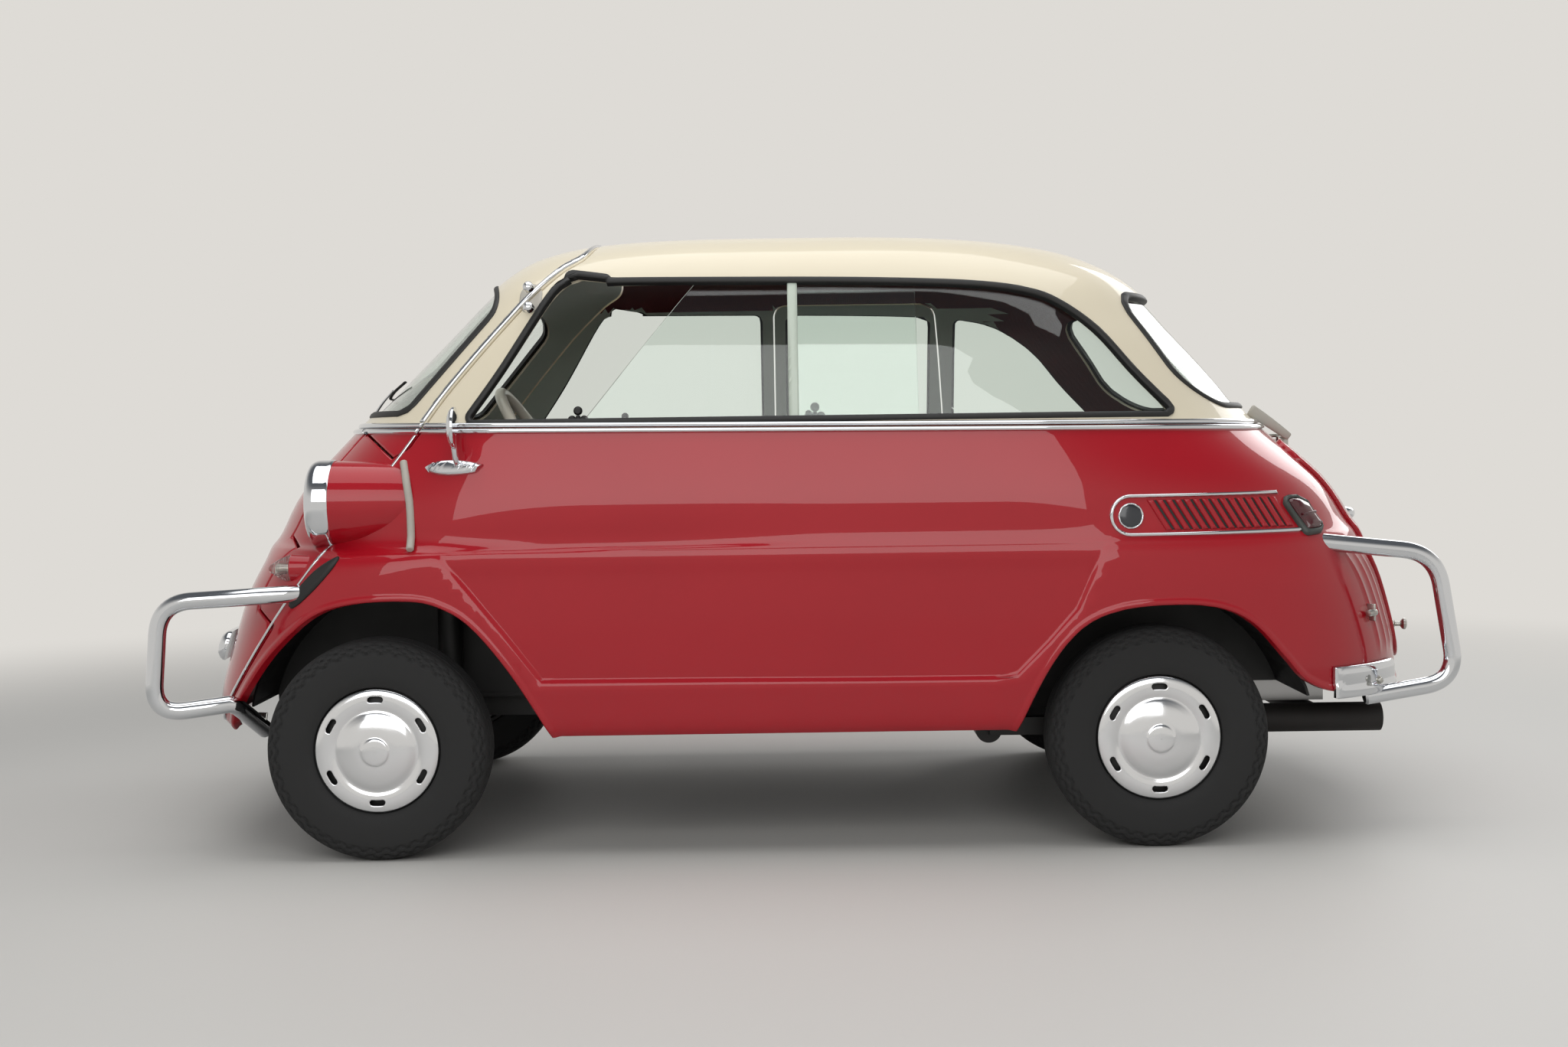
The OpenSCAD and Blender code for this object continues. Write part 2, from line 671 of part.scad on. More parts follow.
blade_x0 = blade_share * tail_len;
blade_in = 70;
blade_z0 = 322;
blade_z1 = 394;
module rear_bumpers() piece(bright) faceted() {
    difference() {
        mirrored() swept(rounded([[rear_hoop_in_x, -rear_hoop_y, rear_hoop_top_z],
            [rear_reach - hoop_r - rear_hoop_lean, -rear_hoop_y, rear_hoop_top_z - rear_hoop_drop],
            [rear_reach - hoop_r, -rear_hoop_y, rear_hoop_low_z],
            [rear_hoop_end_x, -rear_hoop_y, rear_hoop_low_z - rear_hoop_fall]], hoop_bend), hoop_r);
        skin(-seat);
    }
    intersection() {
        sheet(-blade_t, -seat);
        mirrored() box(blade_x0, far_x, -half_w, -rear_hoop_y + blade_in, blade_z0, blade_z1);
    }
}

// Chassis and running gear
rail_rise = 20;
rail_z = hub_z + rail_rise;
rail_front_x = 1130;
rail_rear_share = 0.725;
rail_rear_x = rail_rear_share * tail_len;
floor_z = rail_z + rail_h;
floor_t = 12;
floor_share = 0.86;
floor_half_w = floor_share * half_w;
floor_front_x = 470;
floor_rear_x = 510;
floor_nose_x = 1150;
floor_nose_half_w = 330;
post_back = 115;
post_x = half_base - post_back;
socket_front_x = 470;
socket_rear_x = 360;
module chassis_frame() piece(black) difference() {
    union() {
        mirrored() box(-rail_front_x, rail_rear_x, -rail_y - rail_w / 2, -rail_y + rail_w / 2, rail_z, floor_z);
        for (x = [-rail_front_x + rail_w, -rail_w / 2, pivot_x - rail_w / 2])
            box(x, x + rail_w, -rail_y, rail_y, rail_z, floor_z);
    }
    mirrored() for (x = [-socket_front_x, socket_rear_x])
        translate([x, -rail_y, rail_z - over]) cylinder(h = rail_h + 2 * over, r = socket_r);
}
module floor_pan() piece(black) {
    box(-floor_front_x, floor_rear_x, -floor_half_w, floor_half_w, floor_z, floor_z + floor_t);
    box(-floor_nose_x, -floor_front_x, -floor_nose_half_w, floor_nose_half_w, floor_z, floor_z + floor_t);
    box(floor_rear_x, block_x0 - over, -floor_nose_half_w, floor_nose_half_w, floor_z, floor_z + floor_t);
}
house_in_y = floor_nose_half_w + seat;
house_t = 6;
house_gap = 12;
// Liner over one wheel: a half drum and its inner wall
module house(x, z, r) {
    difference() {
        y_rod(x, z, -half_w, -house_in_y, r + house_t);
        y_rod(x, z, -body_w, -house_in_y - house_t, r);
        box(x - 2 * r, x + 2 * r, -body_w, 0, -r, floor_z + floor_t + seat);
    }
}
module wheelhouses() piece(black) faceted() intersection() {
    mirrored() {
        house(front_arch_shift - half_base, front_arch_z, front_arch_r + house_gap);
        house(half_base + rear_arch_shift, rear_arch_z, rear_arch_r + house_gap);
    }
    skin(wall + seat);
}
post_y = 385;
post_r = 28;
post_top_z = 545;
arm_w = 34;
arm_h = 40;
boss_r = 27;
boss_h = 84;
pin_y = 520;
pin_r = 12;
module front_axle() piece(black) difference() {
    union() {
        y_rod(-post_x, rail_z - tube_r, -post_y, post_y, tube_r);
        mirrored() {
            translate([-post_x, -post_y, rail_z - 2 * tube_r]) cylinder(h = post_top_z - rail_z + 2 * tube_r, r = post_r);
            box(-half_base - arm_h / 2, -post_x, -post_y - arm_w / 2, -post_y + arm_w / 2, hub_z - arm_h / 2,
                hub_z + arm_h / 2);
            y_rod(-half_base, hub_z, -pin_y, -post_y, arm_h / 2);
            translate([-half_base, -pin_y, hub_z - boss_h / 2]) cylinder(h = boss_h, r = boss_r);
        }
    }
    mirrored() translate([-half_base, -pin_y, hub_z - boss_h]) cylinder(h = 2 * boss_h, r = pin_r + seat);
}
yoke_t = 14;
yoke_w = 40;
yoke_gap = 6;
drum_r = 92;
drum_w = 24;
hub_face = 22;
// Left steering knuckle: kingpin, yoke, backing plate and stub axle
module knuckle() {
    z0 = hub_z - boss_h / 2 - seat - yoke_t;
    z1 = hub_z + boss_h / 2 + seat;
    y_in = -pin_y - boss_r - yoke_gap;
    translate([-half_base, -pin_y, z0]) cylinder(h = boss_h + 2 * (seat + yoke_t), r = pin_r);
    for (z = [z0, z1]) {
        translate([-half_base, -pin_y, z]) cylinder(h = yoke_t, r = yoke_w / 2);
        box(-half_base - yoke_w / 2, -half_base + yoke_w / 2, y_in - drum_w, -pin_y, z, z + yoke_t);
    }
    y_rod(-half_base, hub_z, y_in - drum_w, y_in, drum_r);
    y_rod(-half_base, hub_z, -front_track / 2 - hub_face, y_in, stub_r);
}
module knuckle_left() piece(black) knuckle();
module knuckle_right() piece(black) mirror([0, 1, 0]) knuckle();
pivot_x = 500;
rear_arm_y = 430;
carrier_r = 60;
carrier_w = 30;
shaft_r = 15;
gearbox_half_w = 110;
module rear_axle() piece(black) {
    y_rod(pivot_x, rail_z - tube_r, -rear_arm_y, rear_arm_y, tube_r);
    mirrored() {
        box(pivot_x, half_base, -rear_arm_y - arm_w / 2, -rear_arm_y + arm_w / 2, hub_z - arm_h / 2, hub_z + arm_h / 2);
        y_rod(half_base, hub_z, -rear_arm_y - arm_w / 2 - carrier_w, -rear_arm_y, carrier_r);
        y_rod(half_base, hub_z, -rear_track / 2 - hub_face, -gearbox_half_w - seat, shaft_r);
    }
}
block_x0 = 960;
block_rear_share = 0.886;
block_x1 = block_rear_share * tail_len;
block_half_w = rail_y - rail_w / 2 - seat;
block_top_z = 560;
gearbox_x0 = 770;
gearbox_rise = 68;
gearbox_drop = 60;
gearbox_top_z = hub_z + gearbox_rise;
gearbox_low_z = hub_z - gearbox_drop;
module engine_block() piece(black) {
    box(block_x0, block_x1, -block_half_w, block_half_w, rail_z, block_top_z);
    box(gearbox_x0, block_x0, -gearbox_half_w, gearbox_half_w, gearbox_low_z, gearbox_top_z);
}
can_r = 34;
can_out = 15;
can_y = rail_y + can_out;
can_rear_share = 0.9665;
can_x1 = can_rear_share * tail_len;
pipe_r = 26;
module exhaust() piece(black) {
    x_rod(-can_y, rail_z - can_r - seat, block_x0, can_x1, can_r);
    x_rod(can_y, rail_z - can_r - seat, block_x0, can_x1 - 3 * can_r, can_r);
    y_rod(block_x1 - pipe_r, rail_z - can_r - seat, -can_y, can_y, pipe_r);
}
bulkhead_x = 700;
bulkhead_t = 8;
bulkhead_top_z = 880;
shelf_x = 1010;
module rear_bulkhead() piece(black) faceted() intersection() {
    union() {
        box(bulkhead_x, bulkhead_x + bulkhead_t, -floor_nose_half_w, floor_nose_half_w, floor_z + floor_t + seat,
            bulkhead_top_z);
        box(bulkhead_x, shelf_x, -half_w, half_w, bulkhead_top_z, bulkhead_top_z + bulkhead_t);
    }
    skin(wall + seat);
}

// Wheels, made about the origin with the outer face toward -y
trim_t = 8;
trim_in_share = 0.66;
cap_h = 26;
hub_r = 34;
hub_back = 18;
slot_r_share = 0.83;
slot_len = 26;
slot_w = 11;
disc_t = 10;
module wheel_disc() {
    difference() {
        rotate([90, 0, 0]) rotate_extrude() polygon([
            [stub_r + seat, -hub_back], [hub_r, -hub_back], [hub_r, rim_w / 2 - 3 * disc_t],
            [rim_r - disc_t, rim_w / 2 - 3 * disc_t], [rim_r - disc_t, -rim_w / 2], [rim_r, -rim_w / 2],
            [rim_r, rim_w / 2], [trim_in_share * rim_r, rim_w / 2 + trim_t / 2],
            [trim_in_share * rim_r / 2, rim_w / 2 + trim_t / 2 + cap_h / 2], [0, rim_w / 2 + cap_h],
            [0, hub_face + 2 * seat], [stub_r + seat, hub_face + 2 * seat]]);
        for (k = [0 : slot_count - 1]) rotate([0, 360 * k / slot_count, 0]) translate([0, 0, slot_r_share * rim_r])
            rotate([90, 0, 0]) linear_extrude(rim_w) square([slot_len, slot_w], center = true);
    }
}
// Tyre section from bead to tread. Columns: share of the sidewall height, share of tyre_w
tyre_shares = [[0.25, 0.47], [0.5, 0.5], [0.78, 0.47], [0.95, 0.38], [1, 0.25]];
module tyre() {
    r0 = rim_r + seat;
    side = tyre_r - r0;
    half = [for (s = tyre_shares) [r0 + side * s[0], tyre_w * s[1]]];
    rotate([90, 0, 0]) rotate_extrude($fn = 96) polygon(concat([[r0, -rim_w / 2]], [for (p = half) [p[0], -p[1]]],
        [for (k = [len(half) - 1 : -1 : 0]) half[k]], [[r0, rim_w / 2]]));
}
module at_wheel(x, y) { translate([x, y, hub_z]) rotate([0, 0, y > 0 ? 180 : 0]) children(); }
module wheel_front_left() piece(bright) at_wheel(-half_base, -front_track / 2) wheel_disc();
module wheel_front_right() piece(bright) at_wheel(-half_base, front_track / 2) wheel_disc();
module wheel_rear_left() piece(bright) at_wheel(half_base, -rear_track / 2) wheel_disc();
module wheel_rear_right() piece(bright) at_wheel(half_base, rear_track / 2) wheel_disc();
module tyre_front_left() piece(black) at_wheel(-half_base, -front_track / 2) tyre();
module tyre_front_right() piece(black) at_wheel(-half_base, front_track / 2) tyre();
module tyre_rear_left() piece(black) at_wheel(half_base, -rear_track / 2) tyre();
module tyre_rear_right() piece(black) at_wheel(half_base, rear_track / 2) tyre();

// Cabin fittings
seat_half_w = 500;
seat_low_z = floor_z + floor_t;
leg_h = 90;
cushion_h = 120;
cushion_z0 = seat_low_z + leg_h;
cushion_z1 = cushion_z0 + cushion_h;
front_seat_x0 = -520;
front_seat_x1 = -80;
back_t = 110;
back_top_z = 860;
seat_leg = 40;
module bench(x0, x1, half, leg_half) {
    box(x0, x1, -half, half, cushion_z0, cushion_z1);
    box(x1 - back_t, x1, -half, half, cushion_z1, back_top_z);
    for (x = [x0 + seat_leg, x1 - 2 * seat_leg]) box(x, x + seat_leg, -leg_half, leg_half, seat_low_z, cushion_z0);
}
module front_seat() piece(black) bench(front_seat_x0, front_seat_x1, seat_half_w, seat_half_w - seat_leg);
rear_seat_x0 = 230;
module rear_seat() piece(black)
    bench(rear_seat_x0, bulkhead_x - seat, floor_nose_half_w - seat, floor_nose_half_w - seat_leg);
column_low = [-1080, -300, 515];
column_top = [-520, -300, 866];
column_r = 17;
steer_r = 195;
steer_rim_r = 12;
spoke_w = 24;
spoke_t = 10;
column_span = column_top - column_low;
column_tilt = atan2(column_span[0], column_span[2]);
module on_column() { translate(column_low) rotate([0, column_tilt, 0]) children(); }
boss_grow = 20;
boss_len = 260;
// Bearing block of the steering column on the front door's inner face
module column_boss() { on_column() translate([0, 0, -boss_len]) cylinder(h = boss_len, r = column_r + boss_grow); }
module steering_wheel() piece(cream) on_column() {
    translate([0, 0, seat]) cylinder(h = norm(column_span), r = column_r);
    translate([0, 0, norm(column_span)]) {
        rotate_extrude() translate([steer_r - steer_rim_r, 0]) circle(r = steer_rim_r);
        for (a = [0, 120, 240]) rotate([0, 0, a])
            box(0, steer_r - steer_rim_r, -spoke_w / 2, spoke_w / 2, -spoke_t, 0);
    }
}
mirror_share = 0.521;
mirror_x = mirror_share * nose_len;
mirror_z = 938;
mirror_r = 46;
mirror_y = door_hinge_y + door_hinge_r - mirror_r;
mirror_t = 14;
mirror_stalk_r = 7;
mirror_foot_z = 858;
module mirror_stand() {
    x_rod(-mirror_y, mirror_z, -mirror_x, -mirror_x + mirror_t, mirror_r);
    translate([-mirror_x + mirror_t / 2, -mirror_y, mirror_foot_z])
        cylinder(h = mirror_z - mirror_foot_z, r = mirror_stalk_r);
    y_rod(-mirror_x + mirror_t / 2, mirror_foot_z, -mirror_y - mirror_stalk_r, -half_w / 2, 2 * mirror_stalk_r);
}
module mirror_piece() piece(bright) faceted() difference() {
    mirror_stand();
    skin(-seat);
}
plate_lamp_z = 690;
plate_lamp_t = 34;
plate_lamp_half_w = 70;
plate_lamp_h = 44;
module plate_lamp() piece(bright) faceted() intersection() {
    sheet(-plate_lamp_t, -seat);
    box(0, far_x, -plate_lamp_half_w, plate_lamp_half_w, plate_lamp_z - plate_lamp_h / 2, plate_lamp_z + plate_lamp_h / 2);
}

chassis_frame();
floor_pan();
wheelhouses();
rear_bulkhead();
body_lower();
roof_shell();
rear_window();
side_glass();
belt_rails();
headlamp_pods();
headlamps();
headlamp_lenses();
turn_lamps();
front_bumpers();
rear_bumpers();
side_vents();
tail_lamps();
mirror_piece();  // mirror
front_seat();
rear_seat();
engine_block();
exhaust();
front_axle();
rear_axle();
front_door_panel();
windscreen_frame();
windscreen();
front_door_trim();
steering_wheel();
side_door_panel();
side_door_frame();
side_door_glass();
side_door_trim();
engine_lid();
plate_lamp();
knuckle_left();
knuckle_right();
wheel_front_left();
wheel_front_right();
wheel_rear_left();
wheel_rear_right();
tyre_front_left();
tyre_front_right();
tyre_rear_left();
tyre_rear_right();
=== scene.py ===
"""Looks of a small two-tone car with a swinging front door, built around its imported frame.

Sizes are in millimetres, measured from the ground below the middle of the wheelbase: -X is the front of
the car and -Y its left side. Meshes are moved to the frame's origin and turned to metres when they become
pieces.
"""

from __future__ import annotations

import logging
import math
from dataclasses import dataclass, field
from enum import Enum
from typing import Callable, Sequence

import bpy
import numpy as np
from bpy.types import Material, Node, NodeSocket, NodeTree, Object, Scene
from mathutils import Matrix

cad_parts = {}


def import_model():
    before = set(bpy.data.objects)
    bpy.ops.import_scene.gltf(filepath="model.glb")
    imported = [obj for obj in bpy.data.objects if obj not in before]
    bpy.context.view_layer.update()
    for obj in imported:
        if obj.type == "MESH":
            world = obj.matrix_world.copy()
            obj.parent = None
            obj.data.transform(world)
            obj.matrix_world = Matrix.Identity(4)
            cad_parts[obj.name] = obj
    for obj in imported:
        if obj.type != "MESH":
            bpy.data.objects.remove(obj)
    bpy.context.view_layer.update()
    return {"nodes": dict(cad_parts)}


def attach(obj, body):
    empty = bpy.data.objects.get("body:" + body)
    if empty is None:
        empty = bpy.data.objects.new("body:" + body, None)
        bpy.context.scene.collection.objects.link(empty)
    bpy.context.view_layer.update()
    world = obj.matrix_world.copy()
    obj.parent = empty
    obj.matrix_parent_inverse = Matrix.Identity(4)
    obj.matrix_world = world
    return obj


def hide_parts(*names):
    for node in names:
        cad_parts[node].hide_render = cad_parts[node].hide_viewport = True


LOG = logging.getLogger("car")
MM = 0.001
# The frame's origin lies this far behind the middle of the wheelbase
ORIGIN_X = 102.0
# Edges sharper than this are shown sharp on shapes that have no normals of their own
SHARP_DEG = 38.0

Array = np.ndarray
Floats = Sequence[float]
Field = Callable[[Array], Array]
Path = Sequence[Floats]


class Body(str, Enum):
    """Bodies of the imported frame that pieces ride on."""

    CAR = "car"
    FRONT_DOOR = "front_door"
    STEERING = "steering"
    SIDE_DOOR = "side_door"
    LID = "rear_lid"


class Side(Enum):
    """Left is -Y, right is +Y."""

    LEFT = -1.0
    RIGHT = 1.0


class Pattern(Enum):
    """Surface patterns that a finish can carry."""

    NOISE = "noise"
    GRAIN = "grain"
    WEAVE = "weave"


# Finishes


def linear(hex_colour: str) -> tuple[float, float, float, float]:
    """Turns an sRGB hex colour to linear.

    Args:
        hex_colour: six hex digits after a hash.

    Returns:
        Red, green, blue and an alpha of one.
    """
    parts = [int(hex_colour[i : i + 2], 16) / 255 for i in (1, 3, 5)]
    lin = [c / 12.92 if c <= 0.04045 else ((c + 0.055) / 1.055) ** 2.4 for c in parts]
    return (lin[0], lin[1], lin[2], 1.0)


def add_node(tree: NodeTree, kind: str, settings: dict | None = None, links: dict | None = None) -> Node:
    """Adds one node with its settings and links.

    Args:
        tree: the node tree that gets the node.
        kind: Blender's name of the node type.
        settings: values by attribute name, or by input name or number.
        links: output sockets by input name or number.

    Returns:
        The new node.
    """
    node = tree.nodes.new(kind)
    for key, value in (settings or {}).items():
        if isinstance(key, str) and hasattr(node, key):
            setattr(node, key, value)
        else:
            node.inputs[key].default_value = value
    for key, socket in (links or {}).items():
        tree.links.new(socket, node.inputs[key])
    return node


@dataclass(frozen=True)
class Finish:
    """A real material: what it is, how its surface was made and what that gives the eye."""

    name: str
    colour: str
    second: str = ""
    mottle_mm: float = 300.0
    roughness: float = 0.5
    rough_swing: float = 0.0
    rough_mm: float = 40.0
    metallic: float = 0.0
    coat: float = 0.0
    coat_rough: float = 0.015
    specular: float = 0.5
    ior: float = 1.5
    transmission: float = 0.0
    sheen: float = 0.0
    pattern: Pattern = Pattern.NOISE
    cell_mm: float = 1.0
    height_mm: float = 0.0

    def material(self) -> Material:
        """Returns the finish's material, made once."""
        found = bpy.data.materials.get(self.name)
        return found or self._build()

    def _build(self) -> Material:
        """Builds the node tree of the material."""
        mat = bpy.data.materials.new(self.name)
        mat.use_nodes = True
        mat.diffuse_color = linear(self.colour)
        tree = mat.node_tree
        shader = tree.nodes["Principled BSDF"]
        values = {
            "Base Color": linear(self.colour),
            "Roughness": self.roughness,
            "Metallic": self.metallic,
            "Coat Weight": self.coat,
            "Coat Roughness": self.coat_rough,
            "Specular IOR Level": self.specular,
            "Transmission Weight": self.transmission,
            "Sheen Weight": self.sheen,
        }
        if not self.metallic:
            values["IOR"] = self.ior
        for key, value in values.items():
            shader.inputs[key].default_value = value
        place = add_node(tree, "ShaderNodeTexCoord").outputs["Object"]
        if self.second:
            self._mottle(tree, place, shader)
        if self.rough_swing:
            self._rough(tree, place, shader)
        if self.height_mm:
            self._bump(tree, place, shader)
        return mat

    def _noise(self, tree: NodeTree, place: NodeSocket, size_mm: float, detail: float) -> NodeSocket:
        """Adds a noise of a real size and returns its value."""
        settings = {"Scale": 1 / (size_mm * MM), "Detail": detail}
        return add_node(tree, "ShaderNodeTexNoise", settings, {"Vector": place}).outputs["Fac"]

    def _mottle(self, tree: NodeTree, place: NodeSocket, shader: Node) -> None:
        """Drifts the colour slowly between the finish's two colours."""
        noise = self._noise(tree, place, self.mottle_mm, 4.0)
        colours = {"data_type": "RGBA", 6: linear(self.colour), 7: linear(self.second)}
        mix = add_node(tree, "ShaderNodeMix", colours, {0: noise})
        tree.links.new(mix.outputs[2], shader.inputs["Base Color"])

    def _rough(self, tree: NodeTree, place: NodeSocket, shader: Node) -> None:
        """Varies the roughness by wiping marks and dust."""
        noise = self._noise(tree, place, self.rough_mm, 5.0)
        low, high = max(0.0, self.roughness - self.rough_swing), self.roughness + self.rough_swing
        span = add_node(tree, "ShaderNodeMapRange", {"To Min": low, "To Max": high}, {"Value": noise})
        tree.links.new(span.outputs["Result"], shader.inputs["Roughness"])

    def _bump(self, tree: NodeTree, place: NodeSocket, shader: Node) -> None:
        """Raises the surface by the finish's pattern at its real cell size."""
        scale = 1 / (self.cell_mm * MM)
        at = {"Vector": place}
        if self.pattern is Pattern.GRAIN:
            tex = add_node(tree, "ShaderNodeTexVoronoi", {"Scale": scale}, at).outputs["Distance"]
        elif self.pattern is Pattern.WEAVE:
            waves = [
                add_node(tree, "ShaderNodeTexWave", {"bands_direction": way, "Scale": scale / 2}, at)
                for way in ("X", "DIAGONAL")
            ]
            pair = {0: waves[0].outputs["Fac"], 1: waves[1].outputs["Fac"]}
            tex = add_node(tree, "ShaderNodeMath", {"operation": "MULTIPLY"}, pair).outputs[0]
        else:
            tex = self._noise(tree, place, self.cell_mm, 3.0)
        settings = {"Strength": 1.0, "Distance": self.height_mm * MM}
        bump = add_node(tree, "ShaderNodeBump", settings, {"Height": tex})
        tree.links.new(bump.outputs[0], shader.inputs["Normal"])


# Sprayed and polished lacquer: a deep colour under clear gloss, with faint orange peel
RED_LACQUER = Finish(
    "red_lacquer", "#b00f20", "#a50c1d", roughness=0.4, coat=0.85, specular=0.1, cell_mm=9, height_mm=0.012
)
CREAM_LACQUER = Finish(
    "cream_lacquer", "#e6dcc4", "#e1d6bd", roughness=0.4, coat=0.6, specular=0.1, cell_mm=9, height_mm=0.012
)
# Plated steel: a mirror with a little haze where it is wiped
CHROME = Finish("chrome_plate", "#d9dbde", metallic=1.0, roughness=0.07, rough_swing=0.03)
# Polished pressed wheel trim: brighter and softer than plating
WHEEL_TRIM = Finish("polished_wheel_trim", "#e3e4e6", metallic=1.0, roughness=0.13, rough_swing=0.05)
# Drawn sheet glass: clear, faintly green at its edges
SHEET_GLASS = Finish("sheet_glass", "#f4fbf7", roughness=0.0, ior=1.45, transmission=1.0)
# Pressed lamp glass with flutes
LAMP_GLASS = Finish("pressed_lamp_glass", "#f6f8f8", roughness=0.02, ior=1.5, transmission=1.0)
# Clear moulded acrylic of the turn lamps
CLEAR_ACRYLIC = Finish("clear_acrylic", "#f3eee8", roughness=0.06, ior=1.49, transmission=0.92)
# Moulded red acrylic: dark until light comes through it
RED_ACRYLIC = Finish("red_acrylic", "#5a1420", roughness=0.08, ior=1.49, transmission=0.3, coat=0.6)
# Extruded rubber seal: near black with a soft sheen; the grit is coarser than real so that it shows
SEAL_RUBBER = Finish("seal_rubber", "#161616", "#1d1d1c", roughness=0.55, cell_mm=2.5, height_mm=0.05)
# Aged pale rubber strap
PALE_RUBBER = Finish(
    "pale_rubber", "#b9b4aa", "#a9a499", mottle_mm=60, roughness=0.6, cell_mm=2, height_mm=0.06
)
# Moulded tyre rubber: dark grey, dry and slightly dusty
TYRE_RUBBER = Finish(
    "tyre_rubber", "#202020", "#2a2928", mottle_mm=90,
    roughness=0.72, rough_swing=0.08, cell_mm=1.6, height_mm=0.09
)
# Brushed-on chassis paint: satin black over rough steel; also laid in the side vents' slits as painted shade
CHASSIS_BLACK = Finish(
    "chassis_black", "#131313", "#1b1a19", roughness=0.5, rough_swing=0.1, cell_mm=5, height_mm=0.12
)
# Woven headlining: maroon, matt, fine ribs drawn coarser so that they show
HEADLINING = Finish(
    "headlining_cloth", "#6d2a2b", "#622425", roughness=0.95, sheen=0.2,
    pattern=Pattern.WEAVE, cell_mm=4, height_mm=0.25
)
# Coated trim board of doors and sides: grained vinyl
TRIM_VINYL = Finish(
    "trim_vinyl", "#5a1d22", "#4f181d", roughness=0.5, pattern=Pattern.GRAIN, cell_mm=3, height_mm=0.12
)
# Stitched seat vinyl
SEAT_VINYL = Finish(
    "seat_vinyl", "#5d1a20", "#52161b", roughness=0.45, pattern=Pattern.GRAIN, cell_mm=2.5, height_mm=0.14
)
# Stove enamel of window bars and inner pillars: pale grey-green
PALE_ENAMEL = Finish("pale_enamel", "#cbd5c7", "#c1cbbd", roughness=0.35, cell_mm=8, height_mm=0.03)
# Cast ivory plastic of the steering wheel
IVORY = Finish(
    "ivory_plastic", "#e2d6b8", "#d8cbab", mottle_mm=80, roughness=0.3, coat=0.3, cell_mm=6, height_mm=0.02
)
# Sand-cast alloy of the engine
CAST_ALLOY = Finish("cast_alloy", "#8b8b89", metallic=1.0, roughness=0.5, cell_mm=3, height_mm=0.2)
# Heat-proof black on exhaust steel
EXHAUST_BLACK = Finish(
    "exhaust_black", "#1a1918", "#2a2523", mottle_mm=70, roughness=0.65, cell_mm=2.5, height_mm=0.15
)
# Moulded gasket under a lamp: grey, dull
GASKET = Finish("grey_gasket", "#454a46", "#3c413d", mottle_mm=40, roughness=0.5, cell_mm=2.5, height_mm=0.05)
# Fired enamel of a plain badge
BADGE_ENAMEL = Finish(
    "badge_enamel", "#1c1f26", "#22262e", mottle_mm=20, roughness=0.2, coat=0.6, cell_mm=5, height_mm=0.01
)
# Zinc-plated small hardware
ZINC = Finish("zinc_plate", "#b9b8b2", metallic=1.0, roughness=0.32, rough_swing=0.06)
# Silvered reflector and mirror glass
SILVERED = Finish("silvered_glass", "#eef0f2", metallic=1.0, roughness=0.03, rough_swing=0.01)
# Sealed studio floor: pale and dull, with a faint trowelled unevenness
PALE_FLOOR = Finish("pale_floor", "#d2d0cb", roughness=0.6, cell_mm=30, height_mm=0.2)


# Meshes


@dataclass
class Shape:
    """Points in millimetres, faces, a finish number for each face and, if known, normals of the points."""

    points: Array
    faces: list[tuple[int, ...]]
    finish: list[int] = field(default_factory=list)
    normals: Array | None = None

    def moved(self, matrix: Array, offset: Floats) -> Shape:
        """Returns the shape turned by a 3 by 3 matrix, then moved."""
        turn = np.asarray(matrix, float).T
        normals = None if self.normals is None else self.normals @ turn
        faces = self.faces if np.linalg.det(matrix) > 0 else [f[::-1] for f in self.faces]
        return Shape(self.points @ turn + np.asarray(offset, float), faces, self.finish, normals)

    def mirrored(self) -> Shape:
        """Returns the shape on the other side of the car."""
        return self.moved(np.diag([1.0, -1.0, 1.0]), (0, 0, 0))


def joined(shapes: Sequence[Shape]) -> Shape:
    """Joins shapes to one, with normals only where all have them."""
    points, faces, finish, base = [], [], [], 0
    for shape in shapes:
        points.append(shape.points)
        faces += [tuple(i + base for i in f) for f in shape.faces]
        finish += shape.finish or [0] * len(shape.faces)
        base += len(shape.points)
    normals = None
    if all(s.normals is not None for s in shapes):
        normals = np.concatenate([s.normals for s in shapes])
    return Shape(np.concatenate(points), faces, finish, normals)


def both_sides(shape: Shape) -> Shape:
    """Joins a shape with its mirror image on the other side of the car."""
    return joined([shape, shape.mirrored()])


def add_piece(
    name: str,
    shape: Shape,
    finishes: Finish | Sequence[Finish],
    body: Body | str,
    replaced: Sequence[str] = (),
) -> Object:
    """Makes a piece of the object from a shape.

    Args:
        name: the piece's name.
        shape: its mesh in millimetres.
        finishes: one finish for all, or the finishes that the shape's finish numbers stand for.
        body: the body that it rides on.
        replaced: frame nodes that it stands for.

    Returns:
        The new object.
    """
    mesh = bpy.data.meshes.new(name)
    mesh.from_pydata(((shape.points - (ORIGIN_X, 0, 0)) * MM).tolist(), [], shape.faces)
    if isinstance(finishes, Finish):
        finishes = [finishes] * (max(shape.finish, default=0) + 1)
    for finish in finishes:
        mesh.materials.append(finish.material())
    if shape.finish:
        mesh.polygons.foreach_set("material_index", shape.finish)
    mesh.polygons.foreach_set("use_smooth", [True] * len(mesh.polygons))
    if shape.normals is None:
        mesh.set_sharp_from_angle(angle=math.radians(SHARP_DEG))
    else:
        mesh.normals_split_custom_set_from_vertices(shape.normals.tolist())
    mesh.update()
    piece = bpy.data.objects.new(name, mesh)
    bpy.context.scene.collection.objects.link(piece)
    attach(piece, str(getattr(body, "value", body)))
    if replaced:
        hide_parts(*replaced)
    LOG.info("%s: %d faces on %s", name, len(mesh.polygons), getattr(body, "value", body))
    return piece


def unit(vectors: Array) -> Array:
    """Returns vectors scaled to a length of one."""
    return vectors / np.maximum(np.linalg.norm(vectors, axis=-1, keepdims=True), 1e-12)


